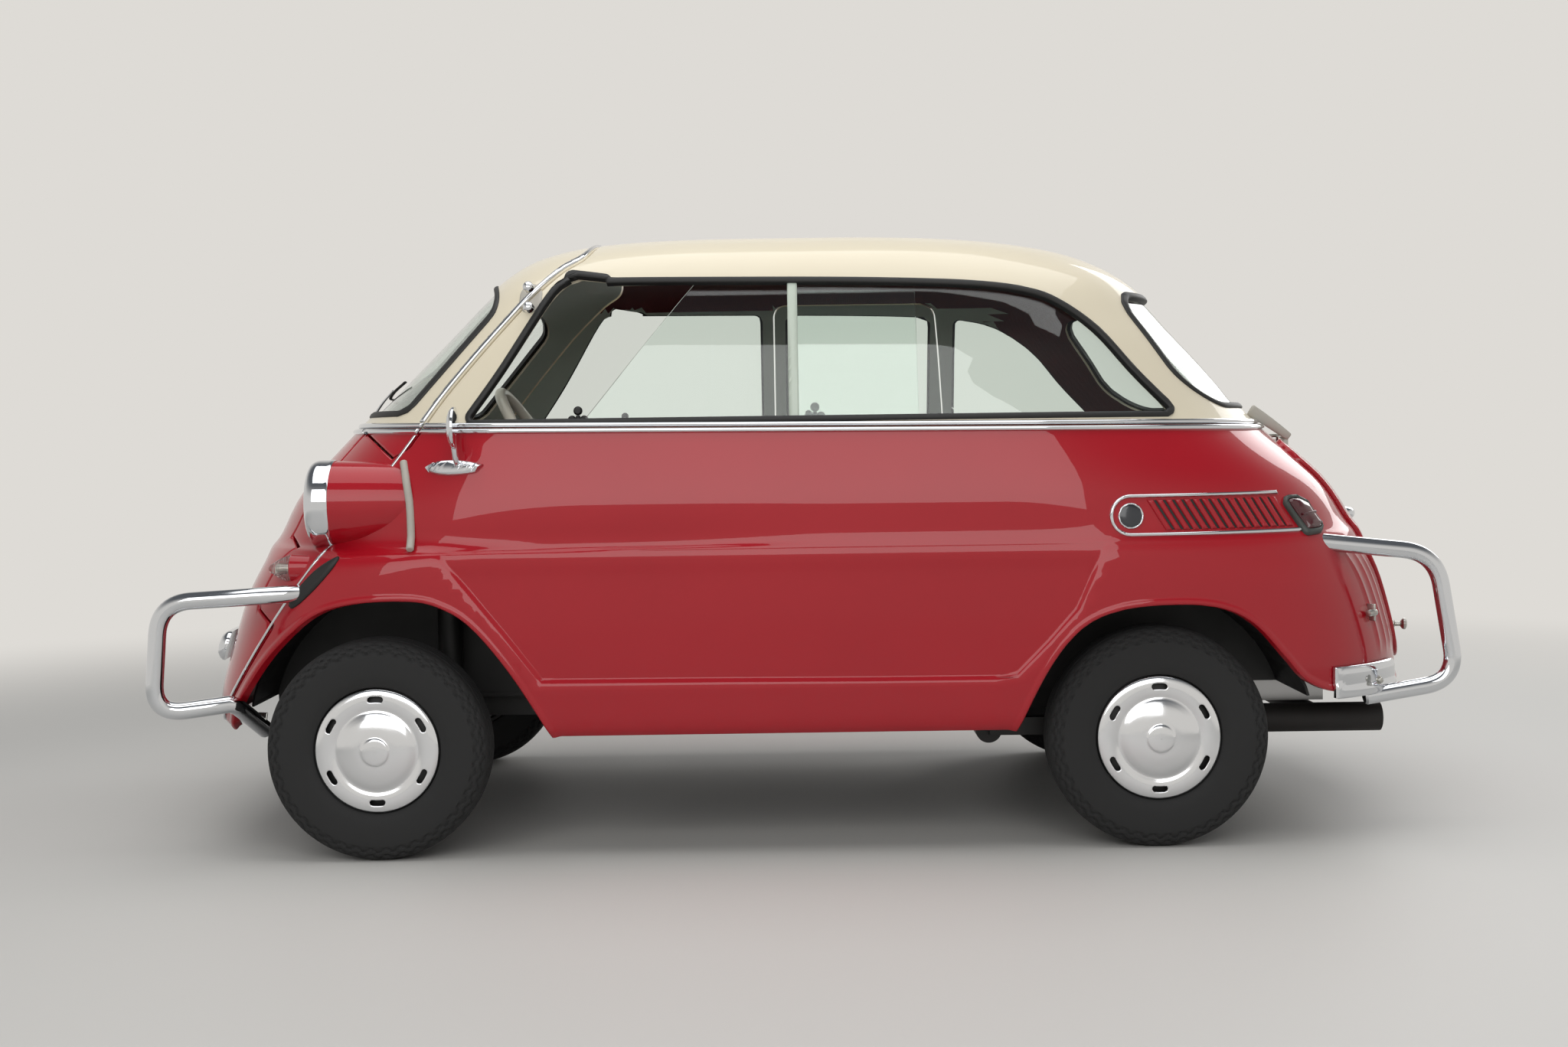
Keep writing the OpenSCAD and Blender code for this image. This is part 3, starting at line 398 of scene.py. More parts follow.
def axes_to(direction: Floats, up: Floats = (0, 0, 1)) -> Array:
    """Returns a rotation whose third column is the direction, with its second near up."""
    z = unit(np.asarray(direction, float))
    x = np.cross(np.asarray(up, float), z)
    if np.linalg.norm(x) < 1e-6:
        x = np.cross((0.0, 1.0, 0.0), z)
    x = unit(x)
    return np.stack([x, np.cross(z, x), z], axis=1)


def grid_faces(rows: int, columns: int, around: bool) -> list[tuple[int, ...]]:
    """Returns the quads of a grid of points in rows, closed around its columns if asked."""
    last = columns if around else columns - 1
    faces = []
    for i in range(rows - 1):
        for j in range(last):
            k = (j + 1) % columns
            faces.append((i * columns + j, i * columns + k, (i + 1) * columns + k, (i + 1) * columns + j))
    return faces


def closed_rings(points: Array, columns: int) -> Shape:
    """Returns the closed shape of rings of points, with faces across its first and last ring."""
    count = len(points)
    faces = grid_faces(count // columns, columns, True)
    faces.append(tuple(range(columns))[::-1])
    faces.append(tuple(range(count - columns, count)))
    return Shape(points, faces)


def lathe(profile: Path, steps: int = 64) -> Shape:
    """Turns a profile of radius and height about the local z axis.

    Args:
        profile: pairs of radius and height, outside on the right hand when walking along it upward.
        steps: divisions around.

    Returns:
        The turned shape, with its ends closed where the radius is small.
    """
    pts = np.asarray(profile, float)
    angle = np.linspace(0, math.tau, steps, endpoint=False)
    ring = np.stack([np.cos(angle), np.sin(angle)], axis=1)
    xy = np.maximum(pts[:, None, :1], 1e-3) * ring[None]
    z = np.repeat(pts[:, None, 1:], steps, axis=1)
    return closed_rings(np.concatenate([xy, z], axis=2).reshape(-1, 3), steps)


def between(a: Array, b: Array, c: Array, d: Array, t: Array) -> Array:
    """Returns the smooth curve from b to c at shares t, with a before and d after them."""
    return 0.5 * (2 * b + (c - a) * t + (2 * a - 5 * b + 4 * c - d) * t**2 + (3 * b - a - 3 * c + d) * t**3)


def curve(points: Path, steps: int = 6, closed: bool = False) -> Array:
    """Returns a smooth curve through points.

    Args:
        points: the points, of any dimension.
        steps: divisions between two points.
        closed: whether the last point joins the first.

    Returns:
        The points of the curve.
    """
    p = np.asarray(points, float)
    if closed:
        p = np.concatenate([p[-1:], p, p[:2]])
    else:
        p = np.concatenate([2 * p[:1] - p[1:2], p, 2 * p[-1:] - p[-2:-1]])
    t = np.linspace(0, 1, steps, endpoint=False)[:, None]
    out = np.concatenate([between(*four, t) for four in zip(p[:-3], p[1:-2], p[2:-1], p[3:])])
    return out if closed else np.concatenate([out, p[-2:-1]])


def bent(points: Path, bend: float, steps: int = 10) -> Array:
    """Returns a path whose inner corners are curves that start bend away from them."""
    p = np.asarray(points, float)
    t = np.linspace(0, 1, steps)[:, None]
    out = [p[:1]]
    for before, corner, after in zip(p[:-2], p[1:-1], p[2:]):
        a = corner + bend * unit(before - corner)
        b = corner + bend * unit(after - corner)
        out.append((1 - t) ** 2 * a + 2 * t * (1 - t) * corner + t**2 * b)
    return np.concatenate(out + [p[-1:]])


# Rounded end of a tube: its length and its two smaller radii as shares of the radius, and its closing face
CAP_LEN, CAP_MID, CAP_TIP = 0.25, 0.8, 0.55
CAP_CLOSE = 0.01


def tube(path: Array, radius: float | Floats, sides: int = 20, flat: float = 1.0) -> Shape:
    """Sweeps a round or oval section along a path, with softly rounded ends.

    Args:
        path: points of the centre line.
        radius: one radius, or one for each point.
        sides: corners of the section.
        flat: the section's second half axis as a share of the first.

    Returns:
        The closed tube.
    """
    p = np.asarray(path, float)
    r = np.broadcast_to(np.asarray(radius, float), (len(p),)).copy()
    tangent = unit(np.gradient(p, axis=0))
    start, end = p[:1], p[-1:]
    out, on = tangent[:1], tangent[-1:]
    first_rows = [start - out * CAP_CLOSE, start, start + out * (r[0] * CAP_LEN)]
    last_rows = [end - on * (r[-1] * CAP_LEN), end, end + on * CAP_CLOSE]
    p = np.concatenate([*first_rows, p[1:-1], *last_rows])
    first_r = [r[0] * CAP_TIP, r[0] * CAP_MID, r[0]]
    last_r = [r[-1], r[-1] * CAP_MID, r[-1] * CAP_TIP]
    r = np.concatenate([first_r, r[1:-1], last_r])
    tangent = np.concatenate([tangent[:1], tangent[:1], tangent, tangent[-1:], tangent[-1:]])
    side = np.zeros_like(p)
    first = np.cross(tangent[0], (0, 1, 0) if abs(tangent[0][1]) < 0.9 else (0, 0, 1))
    for i, t in enumerate(tangent):
        first = first - t * (first @ t)
        first = first / np.linalg.norm(first)
        side[i] = first
    other = np.cross(tangent, side)
    angle = np.linspace(0, math.tau, sides, endpoint=False)
    ring = np.cos(angle)[None, :, None] * side[:, None] + flat * np.sin(angle)[None, :, None] * other[:, None]
    return closed_rings((p[:, None] + r[:, None, None] * ring).reshape(-1, 3), sides)


def block(low: Floats, high: Floats, edge: float, steps: int = 3) -> Shape:
    """Returns a box between two corners with round edges and crowned corners.

    Args:
        low: the lowest corner.
        high: the highest corner.
        edge: radius of the edges.
        steps: divisions of an edge.

    Returns:
        The closed box.
    """
    lo, hi = np.asarray(low, float), np.asarray(high, float)
    edge = min(edge, float((hi - lo).min()) * 0.49)
    turn = np.linspace(0, math.pi / 2, steps + 1)
    lat = np.concatenate([turn - math.pi / 2, turn])
    lon = np.concatenate([turn + k * math.pi / 2 for k in range(4)])
    sign_lat = np.repeat([-1.0, 1.0], steps + 1)
    corner = np.repeat([(1, 1), (-1, 1), (-1, -1), (1, -1)], steps + 1, axis=0)
    core = (hi - lo) / 2 - edge
    mid = (hi + lo) / 2
    points = []
    for a, s in zip(lat, sign_lat):
        for b, (cx, cy) in zip(lon, corner):
            away = np.array([math.cos(a) * math.cos(b), math.cos(a) * math.sin(b), math.sin(a)])
            points.append(mid + core * (cx, cy, s) + edge * away)
    return closed_rings(np.asarray(points), len(lon))


# Fields: signed distances, positive inside a region


def ramp(low: float, high: float, value: Array) -> Array:
    """Rises smoothly from zero at low to one at high."""
    t = np.clip((value - low) / (high - low), 0, 1)
    return t * t * (3 - 2 * t)


def outline_field(corners: Path, axes: tuple[int, int] = (0, 2)) -> Field:
    """Returns the field of a closed outline seen along one axis.

    Args:
        corners: the outline's corners.
        axes: the two coordinates that the outline is drawn in.

    Returns:
        The field.
    """
    starts = np.asarray(corners, float)
    ends = np.roll(starts, -1, axis=0)

    def inside(points: Array) -> Array:
        q = points[:, axes]
        within = np.zeros(len(q), bool)
        best = np.full(len(q), np.inf)
        for a, b in zip(starts, ends):
            ab = b - a
            t = np.clip(((q - a) @ ab) / (ab @ ab), 0, 1)
            best = np.minimum(best, ((q - a - t[:, None] * ab) ** 2).sum(axis=1))
            if a[1] != b[1]:
                x = a[0] + (q[:, 1] - a[1]) * ab[0] / ab[1]
                within ^= ((a[1] > q[:, 1]) != (b[1] > q[:, 1])) & (q[:, 0] < x)
        return np.where(within, 1, -1) * np.sqrt(best)

    return inside


def soft_outline_field(corners: Path, corner_r: float, axes: tuple[int, int] = (0, 2)) -> Field:
    """Returns the field of a convex outline, given counter-clockwise, with its corners rounded."""
    p = np.asarray(corners, float)
    along = unit(np.roll(p, -1, axis=0) - p)
    inward = np.stack([-along[:, 1], along[:, 0]], axis=1)
    level = (p * inward).sum(axis=1) + corner_r
    inner = []
    for k in range(len(p)):
        pair = np.stack([inward[k - 1], inward[k]])
        inner.append(np.linalg.solve(pair, [level[k - 1], level[k]]))
    core = outline_field(inner, axes)
    return lambda points: core(points) + corner_r


def box_field(centre: Floats, half: Floats, corner_r: float, axes: tuple[int, int] = (0, 2)) -> Field:
    """Returns the field of a rectangle with round corners."""
    c, h = np.asarray(centre, float), np.asarray(half, float)

    def inside(points: Array) -> Array:
        q = np.abs(points[:, axes] - c) - (h - corner_r)
        return corner_r - np.linalg.norm(np.maximum(q, 0), axis=1) - np.minimum(q.max(axis=1), 0)

    return inside


def both(*fields: Field) -> Field:
    """Returns the field of what lies in all regions."""
    return lambda points: np.min([f(points) for f in fields], axis=0)


def outside(region: Field, gap: float = 0.0) -> Field:
    """Returns the field of what lies outside a region by at least gap."""
    return lambda points: -region(points) - gap


def shrunk(region: Field, by: float) -> Field:
    """Returns the field of a region made smaller all round."""
    return lambda points: region(points) - by


def band(line: Field, centre: float, half: float) -> Field:
    """Returns the field of a strip along a line's level."""
    return lambda points: half - np.abs(line(points) - centre)


def on_side(side: Side) -> Field:
    """Returns the field of one side of the car."""
    return lambda points: side.value * points[:, 1]


@dataclass
class Patch:
    """Triangles on a surface, with the surface's two numbers for each corner."""

    uv: Array
    tris: Array


@dataclass(frozen=True)
class Shoulder:
    """Round edge of a panel or strip: it rises by height over a width from its border."""

    width: float
    height: float

    SHARES = (0.0, 0.05, 0.3, 1.0)

    def levels(self) -> list[float]:
        """Returns the distances from the border where the section needs points."""
        return [self.width * s for s in self.SHARES]

    def rise(self, inset: Array) -> tuple[Array, Array]:
        """Returns the sine and cosine of the section's angle at a distance from the border."""
        lean = np.clip((self.width - inset) / self.width, 0, 1)
        return lean, np.sqrt(1 - lean**2)


class Surface:
    """A smooth surface given by a rule from two numbers to a point."""

    # Steps of the two numbers that slopes are measured over
    step: tuple[float, float] = (0.004, 0.002)
    # Triangles farther outside a region than this are dropped before it is cut
    margin: float = 45.0
    # Step that a field's slope is measured over, and the least slope along the surface that counts
    probe: float = 0.5
    least_slope: float = 0.15
    # Corners nearer to a cut than this are taken to lie on it
    snap: float = 0.02

    def site(self, uv: Array) -> Array:
        """Returns the plain points that regions are measured on."""
        raise NotImplementedError

    def point(self, uv: Array) -> Array:
        """Returns the finished points, with creases and pressings."""
        return self.site(uv)

    def on_seam(self, uv: Array) -> Array:
        """Tells which corners lie where the surface meets itself."""
        return np.zeros(len(uv), bool)

    def slope(self, rule: Callable[[Array], Array], uv: Array) -> Array:
        """Returns the outward normal of a rule's surface."""
        du, dv = np.array([self.step[0], 0]), np.array([0, self.step[1]])
        along_u = rule(uv + du) - rule(uv - du)
        along_v = rule(uv + dv) - rule(uv - dv)
        return unit(np.cross(along_v, along_u))

    def grid(self, u: Array, v: Array) -> Patch:
        """Returns the triangles of a grid of the two numbers."""
        uu, vv = np.meshgrid(u, v, indexing="ij")
        index = np.arange(uu.size).reshape(uu.shape)
        a, b, c, d = index[:-1, :-1], index[:-1, 1:], index[1:, 1:], index[1:, :-1]
        tris = np.concatenate([np.stack(t, axis=-1).reshape(-1, 3) for t in ((a, b, c), (a, c, d))])
        return Patch(np.stack([uu.ravel(), vv.ravel()], axis=1), tris)

    def surface_distance(self, region: Field, uv: Array, reach: float) -> tuple[Array, Array]:
        """Measures a region's border along the surface.

        Args:
            region: the region's field.
            uv: corners on the surface.
            reach: how far from the border the measure has to be true.

        Returns:
            The distances, and the directions along the surface into the region.
        """
        sites = self.site(uv)
        value = region(sites)
        inward = np.zeros_like(sites)
        near = np.abs(value) < 3 * reach + 20
        if near.any():
            at = sites[near]
            steps = np.eye(3) * self.probe
            grad = np.stack([region(at + s) - region(at - s) for s in steps], axis=1) / (2 * self.probe)
            normal = self.slope(self.site, uv[near])
            flat = grad - normal * (grad * normal).sum(axis=1, keepdims=True)
            size = np.maximum(np.linalg.norm(flat, axis=1), self.least_slope)
            value[near] /= size
            inward[near] = flat / size[:, None]
        return value, inward

    def split(self, patch: Patch, value: Array, keep_all: bool, rule: Field | None = None) -> Patch:
        """Cuts triangles along the zero line of a value.

        Args:
            patch: the triangles.
            value: the value at each corner.
            keep_all: keeps the negative side too.
            rule: the field that new corners are moved onto, if any.

        Returns:
            The cut triangles.
        """
        v = np.where(np.abs(value) < self.snap, 0.0, value)
        tri = patch.tris
        sign = np.sign(v[tri])
        has_pos, has_neg = (sign > 0).any(axis=1), (sign < 0).any(axis=1)
        kept = [tri[has_pos & ~has_neg]]
        if keep_all:
            kept.append(tri[~has_pos])
        cut = has_pos & has_neg
        tri, sign = tri[cut], sign[cut]
        with_zero = (sign == 0).any(axis=1)
        rows = np.arange(len(tri))
        alone = np.where(with_zero, 0.0, -np.sign(sign.sum(axis=1)))
        first = np.argmax(sign == alone[:, None], axis=1)
        order = (first[:, None] + np.arange(3)) % 3
        tri, sign = tri[rows[:, None], order], sign[rows[:, None], order]
        zero, lone = tri[with_zero], tri[~with_zero]
        pairs = np.concatenate([zero[:, [1, 2]], lone[:, [0, 1]], lone[:, [0, 2]]])
        if len(pairs) == 0:
            return Patch(patch.uv, np.concatenate(kept))
        edges, number = np.unique(np.sort(pairs, axis=1), axis=0, return_inverse=True)
        fresh = self._crossings(patch.uv, v, edges, rule)
        number = number.reshape(-1) + len(patch.uv)
        nz, nl = len(zero), len(lone)
        mid, ab, ac = number[:nz], number[nz : nz + nl], number[nz + nl :]
        made = [
            (np.stack([zero[:, 0], zero[:, 1], mid], axis=1), sign[with_zero][:, 1]),
            (np.stack([zero[:, 0], mid, zero[:, 2]], axis=1), sign[with_zero][:, 2]),
            (np.stack([lone[:, 0], ab, ac], axis=1), sign[~with_zero][:, 0]),
            (np.stack([ab, lone[:, 1], lone[:, 2]], axis=1), sign[~with_zero][:, 1]),
            (np.stack([ab, lone[:, 2], ac], axis=1), sign[~with_zero][:, 1]),
        ]
        kept += [t if keep_all else t[s > 0] for t, s in made]
        return Patch(np.concatenate([patch.uv, fresh]), np.concatenate(kept))

    def _crossings(self, uv: Array, value: Array, edges: Array, rule: Field | None) -> Array:
        """Returns where edges cross the zero line, refined on the rule."""
        a, b = uv[edges[:, 0]], uv[edges[:, 1]]
        low, high = np.zeros(len(edges)), np.ones(len(edges))
        at_low, at_high = value[edges[:, 0]], value[edges[:, 1]]
        t = at_low / (at_low - at_high)
        if rule is not None:
            at_low, at_high = rule(self.site(a)), rule(self.site(b))
            apart = at_low * at_high < 0
            for _ in range(3):
                now = rule(self.site(a + t[:, None] * (b - a)))
                same = now * at_low > 0
                low, at_low = np.where(same, t, low), np.where(same, now, at_low)
                high, at_high = np.where(same, high, t), np.where(same, at_high, now)
                span = np.where(at_low == at_high, 1.0, at_low - at_high)
                t = np.where(apart, np.clip(low + (high - low) * at_low / span, 0, 1), t)
        return a + t[:, None] * (b - a)

    def panel(
        self,
        patch: Patch,
        regions: Sequence[Field],
        edge: Shoulder,
        depth: float,
        lift: float = 0.0,
        creases: Sequence[tuple[Field, Floats]] = (),
        crown: Shoulder | None = None,
    ) -> Shape:
        """Cuts a panel out of the surface and gives it round edges, thickness and a back.

        Args:
            patch: the grid to cut.
            regions: the panel lies in all of these.
            edge: the round edge, sunk below the surface.
            depth: how far the back lies below the surface.
            lift: how far the panel stands off the surface.
            creases: fields with the levels where the surface needs points.
            crown: a rise from the border that replaces the sunk edge, as on a bead or lens.

        Returns:
            The closed panel: finish number 0 outside, 1 on its back.
        """
        section = crown or edge
        for region in regions:
            patch = self._trimmed(patch, region)
        for region, levels in creases:
            for level in levels:
                patch = self.split(patch, region(self.site(patch.uv)) - level, True)
        for region in regions:
            patch = self.split(patch, region(self.site(patch.uv)), False, region)
            for level in section.levels()[1:]:
                value, _ = self.surface_distance(region, patch.uv, section.width)
                patch = self.split(patch, value - level, True)
        patch = self._compact(patch)
        inset = np.full(len(patch.uv), np.inf)
        inward = np.zeros((len(patch.uv), 3))
        for region in regions:
            value, way = self.surface_distance(region, patch.uv, section.width)
            nearer = value < inset
            inset = np.where(nearer, value, inset)
            inward[nearer] = way[nearer]
        normal = self.slope(self.point, patch.uv)
        lean, full = section.rise(np.maximum(inset, 0))
        rise = section.height * (full if crown else full - 1)
        shown = unit(full[:, None] * normal - (section.height / section.width) * lean[:, None] * inward)
        skin = self.point(patch.uv)
        outer = skin + normal * (lift + rise)[:, None]
        back = skin - normal * depth
        return self._closed(patch, outer, back, shown, normal, inward)

    def bead(
        self,
        patch: Patch,
        line: Field,
        centre: float,
        crown: Shoulder,
        depth: float,
        limits: Sequence[Field] = (),
        lift: float = 0.0,
    ) -> Shape:
        """Lays a round bead along one level of a line's field, within limits."""
        regions = [band(line, centre, crown.width), *limits]
        return self.panel(patch, regions, crown, depth, lift, [(line, (centre,))], crown)

    def _trimmed(self, patch: Patch, region: Field) -> Patch:
        """Drops triangles that lie well outside a region."""
        value = region(self.site(patch.uv))
        near = (value[patch.tris] > -self.margin).any(axis=1)
        return self._compact(Patch(patch.uv, patch.tris[near]))

    def _compact(self, patch: Patch) -> Patch:
        """Drops corners that no triangle uses, and triangles with no area."""
        tri = patch.tris
        tri = tri[(tri[:, 0] != tri[:, 1]) & (tri[:, 1] != tri[:, 2]) & (tri[:, 2] != tri[:, 0])]
        used, number = np.unique(tri, return_inverse=True)
        return Patch(patch.uv[used], number.reshape(-1, 3))

    def _closed(
        self, patch: Patch, outer: Array, back: Array, shown: Array, normal: Array, inward: Array
    ) -> Shape:
        """Joins a panel's face, back and rim to one closed shape."""
        tri = patch.tris
        edges = np.concatenate([tri[:, [0, 1]], tri[:, [1, 2]], tri[:, [2, 0]]])
        key = np.sort(edges, axis=1)
        _, start, count = np.unique(key, axis=0, return_index=True, return_counts=True)
        rim = edges[start[count == 1]]
        seam = self.on_seam(patch.uv)
        rim = rim[~(seam[rim[:, 0]] & seam[rim[:, 1]])]
        n = len(outer)
        ends, number = np.unique(rim, return_inverse=True)
        number = number.reshape(-1, 2) + 2 * n
        points = np.concatenate([outer, back, back[ends]])
        normals = np.concatenate([shown, -normal, -inward[ends]])
        sides = np.stack([rim[:, 1], rim[:, 0], number[:, 0], number[:, 1]], axis=1)
        faces = [tuple(f) for f in tri.tolist()]
        faces += [tuple(f) for f in (tri[:, ::-1] + n).tolist()]
        faces += [tuple(f) for f in sides.tolist()]
        finish = [0] * len(tri) + [1] * len(tri) + [0] * len(sides)
        return Shape(points, faces, finish, normals)


# The body's form


def rounded_corner(across: Array, up: Array, corner_r: float) -> Array:
    """Returns the field of a region whose two sides meet in a round corner."""
    near = np.hypot(np.maximum(corner_r - across, 0), np.maximum(corner_r - up, 0))
    return np.where((across < corner_r) & (up < corner_r), corner_r - near, np.minimum(across, up))


@dataclass
class BodySkin(Surface):
    """Outer form of the body, through sections from the sill to the roof crown.

    The first number is the section, the second runs from the nose (0) along the left side to the tail (3),
    and along the right side to -3.
    """

    nose_len: float = 1297.0
    tail_len: float = 1490.0
    half_w: float = 700.0
    roof_h: float = 1382.0
    waist_z: float = 930.0
    waist_share: float = 0.673
    crown: float = 0.8
    sections: Array = field(default_factory=lambda: np.array(SECTIONS))

    def height(self, share: Array) -> Array:
        """Returns the height of a share, with the belt as the waist."""
        low = self.waist_z * share / self.waist_share
        above = self.roof_h - self.waist_z
        high = self.waist_z + above * (share - self.waist_share) / (1 - self.waist_share)
        return np.where(share < self.waist_share, low, high)

    def _section(self, u: Array) -> Array:
        """Returns the section's shares between the table's rows."""
        last = len(self.sections) - 1
        i = np.clip(np.floor(u).astype(int), 0, last - 1)
        t = (np.minimum(u, last) - i)[:, None]
        a, b, c, d = (self.sections[np.clip(i + k, 0, last)] for k in (-1, 0, 1, 2))
        return between(a, b, c, d, t)

    def site(self, uv: Array) -> Array:
        """Returns points of the plain form."""
        u, v = uv[:, 0], uv[:, 1]
        last = len(self.sections) - 1
        s = self._section(u)
        keep = np.clip(last + 1 - u, -1, 1)
        a = np.abs(v)
        wide = s[:, 3] * self.half_w
        front, rear = s[:, 4] * self.nose_len, s[:, 5] * self.tail_len
        angle = np.where(a < 1, a, np.where(a > 2, 3 - a, 1)) * math.pi / 2
        power = np.where(a < 1.5, s[:, 6], s[:, 7])
        cos, sin = np.cos(angle), np.sin(angle)
        size = (np.abs(cos) ** power + np.abs(sin) ** power) ** (1 / power)
        nose = -front - (s[:, 1] * self.nose_len - front) * cos / size
        tail = rear + (s[:, 2] * self.tail_len - rear) * cos / size
        x = np.where(a < 1, nose, np.where(a > 2, tail, -front + (front + rear) * (a - 1)))
        y = -np.where(v < 0, -1, 1) * wide * sin / size
        z = self.height(s[:, 0]) + self.crown * (1 - np.abs(keep) ** 2)
        return np.stack([x * keep, y * keep, z], axis=1)

    def point(self, uv: Array) -> Array:
        """Returns points with the pressings of the flanks and the arch lips."""
        plain = self.site(uv)
        return plain + self.slope(self.site, uv) * self.pressing(plain)[:, None]

    def pressing(self, p: Array) -> Array:
        """Returns how far pressed lines stand above the plain form."""
        x, z = p[:, 0], p[:, 2]
        low = z < 760
        out = np.zeros(len(p))
        if not low.any():
            return out
        q, x, z = p[low], x[low], z[low]
        panel = -8 * ramp(0, 16, FLANK(q)) * (1 - ramp(600, 690, z))
        above = z - 664 - (x + 900) * 0.012
        reach = ramp(-960, -900, x) * (1 - ramp(-300, 150, x))
        ledge = -6 * ramp(0, 9, above) * (1 - ramp(12, 80, above)) * reach
        lip = 4 * (1 - ramp(5, 18, -arches(q)))
        tail = ramp(1120, 1180, x) * ramp(392, 440, z) * (1 - ramp(590, 660, z))
        ribs = sum(3.5 * (1 - ramp(2, 9, np.abs(np.abs(q[:, 1]) - at))) for at in TAIL_RIBS)
        out[low] = panel + ledge + lip + ribs * tail
        return out

    def _end(self, z: float, side: float) -> tuple[float, float, float, float, float]:
        """Returns half width, start, length and power of an end's curve at a height, and the end's length."""
        rows = self.height(self.sections[:, 0])
        s = self._section(np.array([np.interp(z, rows, np.arange(len(rows)))]))[0]
        tip, start, power = (s[1], s[4], s[6]) if side < 0 else (s[2], s[5], s[7])
        return s[3] * self.half_w, start, tip - start, power, self.nose_len if side < 0 else self.tail_len

    def end_x(self, y: float, z: float, side: float) -> float:
        """Returns where the form's nose (side -1) or tail (side 1) lies at a width and height."""
        wide, start, long, power, length = self._end(z, side)
        reach = (1 - min(1.0, abs(y) / wide) ** power) ** (1 / power)
        return side * length * (start + long * reach)

    def side_y(self, x: float, z: float) -> float:
        """Returns the form's half width at a length and height."""
        wide, start, long, power, length = self._end(z, x)
        reach = max(0.0, (abs(x) / length - start) / long)
        return wide * (1 - min(1.0, reach) ** power) ** (1 / power)

    def on_seam(self, uv: Array) -> Array:
        """Tells which corners lie on the tail's middle line or at the roof's crown."""
        return (np.abs(uv[:, 1]) > 3 - 1e-9) | (uv[:, 0] > len(self.sections) - 1e-9)

    def slope(self, rule: Callable[[Array], Array], uv: Array) -> Array:
        """Returns the outward normal, which points up at the crown."""
        normal = super().slope(rule, uv)
        flat = np.linalg.norm(normal, axis=1) < 0.5
        normal[flat] = (0, 0, 1)
        return normal

    def mesh(self, rows: int = 4, arc: int = 34, side: int = 28) -> Patch:
        """Returns the grid that the panels are cut from."""
        u = np.linspace(0, len(self.sections), len(self.sections) * rows + 1)
        flank, tail = np.linspace(1, 2, side)[1:], np.linspace(2, 3, arc)[1:]
        left = np.concatenate([np.linspace(0, 1, arc), flank, tail])
        return self.grid(u, np.concatenate([-left[:0:-1], left]))


# Sections, low to high: height share, nose and tail shares, half width share, shares where the front and rear
# curves start, and the powers of these curves; the same table as in the part's source
SECTIONS = [
    [0.192, 0.985, 0.985, 0.950, 0.54, 0.47, 3.2, 3.0],
    [0.210, 0.999, 1.000, 0.978, 0.54, 0.47, 3.2, 3.0],
    [0.253, 0.997, 0.999, 0.990, 0.54, 0.47, 3.2, 3.0],
    [0.311, 0.979, 0.994, 0.997, 0.525, 0.456, 3.2, 3.0],
    [0.405, 0.948, 0.974, 1.000, 0.51, 0.43, 3.1, 2.9],
    [0.463, 0.918, 0.954, 0.996, 0.493, 0.403, 3.0, 2.8],
    [0.486, 0.911, 0.945, 0.987, 0.432, 0.39, 2.9, 2.8],
    [0.507, 0.902, 0.934, 0.979, 0.332, 0.376, 2.7, 2.7],
    [0.579, 0.860, 0.888, 0.965, 0.293, 0.336, 2.7, 2.7],
    [0.673, 0.764, 0.790, 0.921, 0.254, 0.289, 2.8, 2.6],
    [0.760, 0.668, 0.722, 0.871, 0.200, 0.255, 3.0, 2.6],
    [0.832, 0.590, 0.660, 0.829, 0.154, 0.221, 3.1, 2.7],
    [0.904, 0.514, 0.597, 0.771, 0.116, 0.188, 3.2, 2.8],
    [0.948, 0.460, 0.534, 0.700, 0.077, 0.148, 3.0, 2.6],
    [0.973, 0.409, 0.463, 0.600, 0.046, 0.121, 2.8, 2.5],
    [0.990, 0.339, 0.362, 0.457, 0.023, 0.087, 2.5, 2.4],
    [0.998, 0.231, 0.221, 0.271, 0.015, 0.060, 2.3, 2.3],
    [1.000, 0.093, 0.094, 0.114, 0.008, 0.027, 2.2, 2.2],
]
# Well outside the car
FAR = 3000.0
# Half widths of the upright ribs pressed in the tail's corners
TAIL_RIBS = (388.0, 424.0, 460.0, 496.0)
# Height of the belt between red and cream at x = 0, its fall toward the rear, and the body's lower edge
BELT_Z = 931.0
BELT_FALL = math.tan(math.radians(0.54))
SILL_Z = 267.0
# Pressed-in lower part of the flanks
FLANK = outline_field(
    [(-650, 588), (-568, 486), (-490, 383), (-134, 381), (202, 378), (532, 377), (606, 452), (673, 527)]
    + [(760, 720), (-760, 720)]
)


def arch(line: Path, ends: Path) -> Field:
    """Returns the field of a wheel arch: a smooth line, closed by straight ones below the body."""
    return outline_field(np.concatenate([curve(line), ends]))


FRONT_ARCH = arch(
    [(-1210, 240), (-1190, 308), (-1139, 387), (-1076, 460), (-982, 535), (-888, 563), (-768, 568)]
    + [(-701, 553), (-635, 510), (-554, 410), (-475, 279), (-455, 230)],
    [(-455, 100), (-1210, 100)],
)
REAR_ARCH = arch(
    [(520, 220), (540, 275), (605, 405), (673, 488), (757, 527), (876, 537), (975, 527), (1050, 490)]
    + [(1121, 414), (1167, 364), (1235, 334), (1320, 329)],
    [(1700, 329), (1700, 100), (520, 100)],
)


def arches(points: Array) -> Array:
    """Returns the field of the wheel arches and the raised tail."""
    return np.maximum(FRONT_ARCH(points), REAR_ARCH(points))


def belt(points: Array) -> Array:
    """Returns the height above the belt, which falls a little toward the rear."""
    return points[:, 2] - BELT_Z + points[:, 0] * BELT_FALL


def below_belt(points: Array) -> Array:
    """Returns the depth below the belt."""
    return -belt(points)


def half_width(points: Array) -> Array:
    """Returns the distance from the middle plane."""
    return np.abs(points[:, 1])


def sill(points: Array) -> Array:
    """Returns the height above the lower edge of the body."""
    return points[:, 2] - SILL_Z


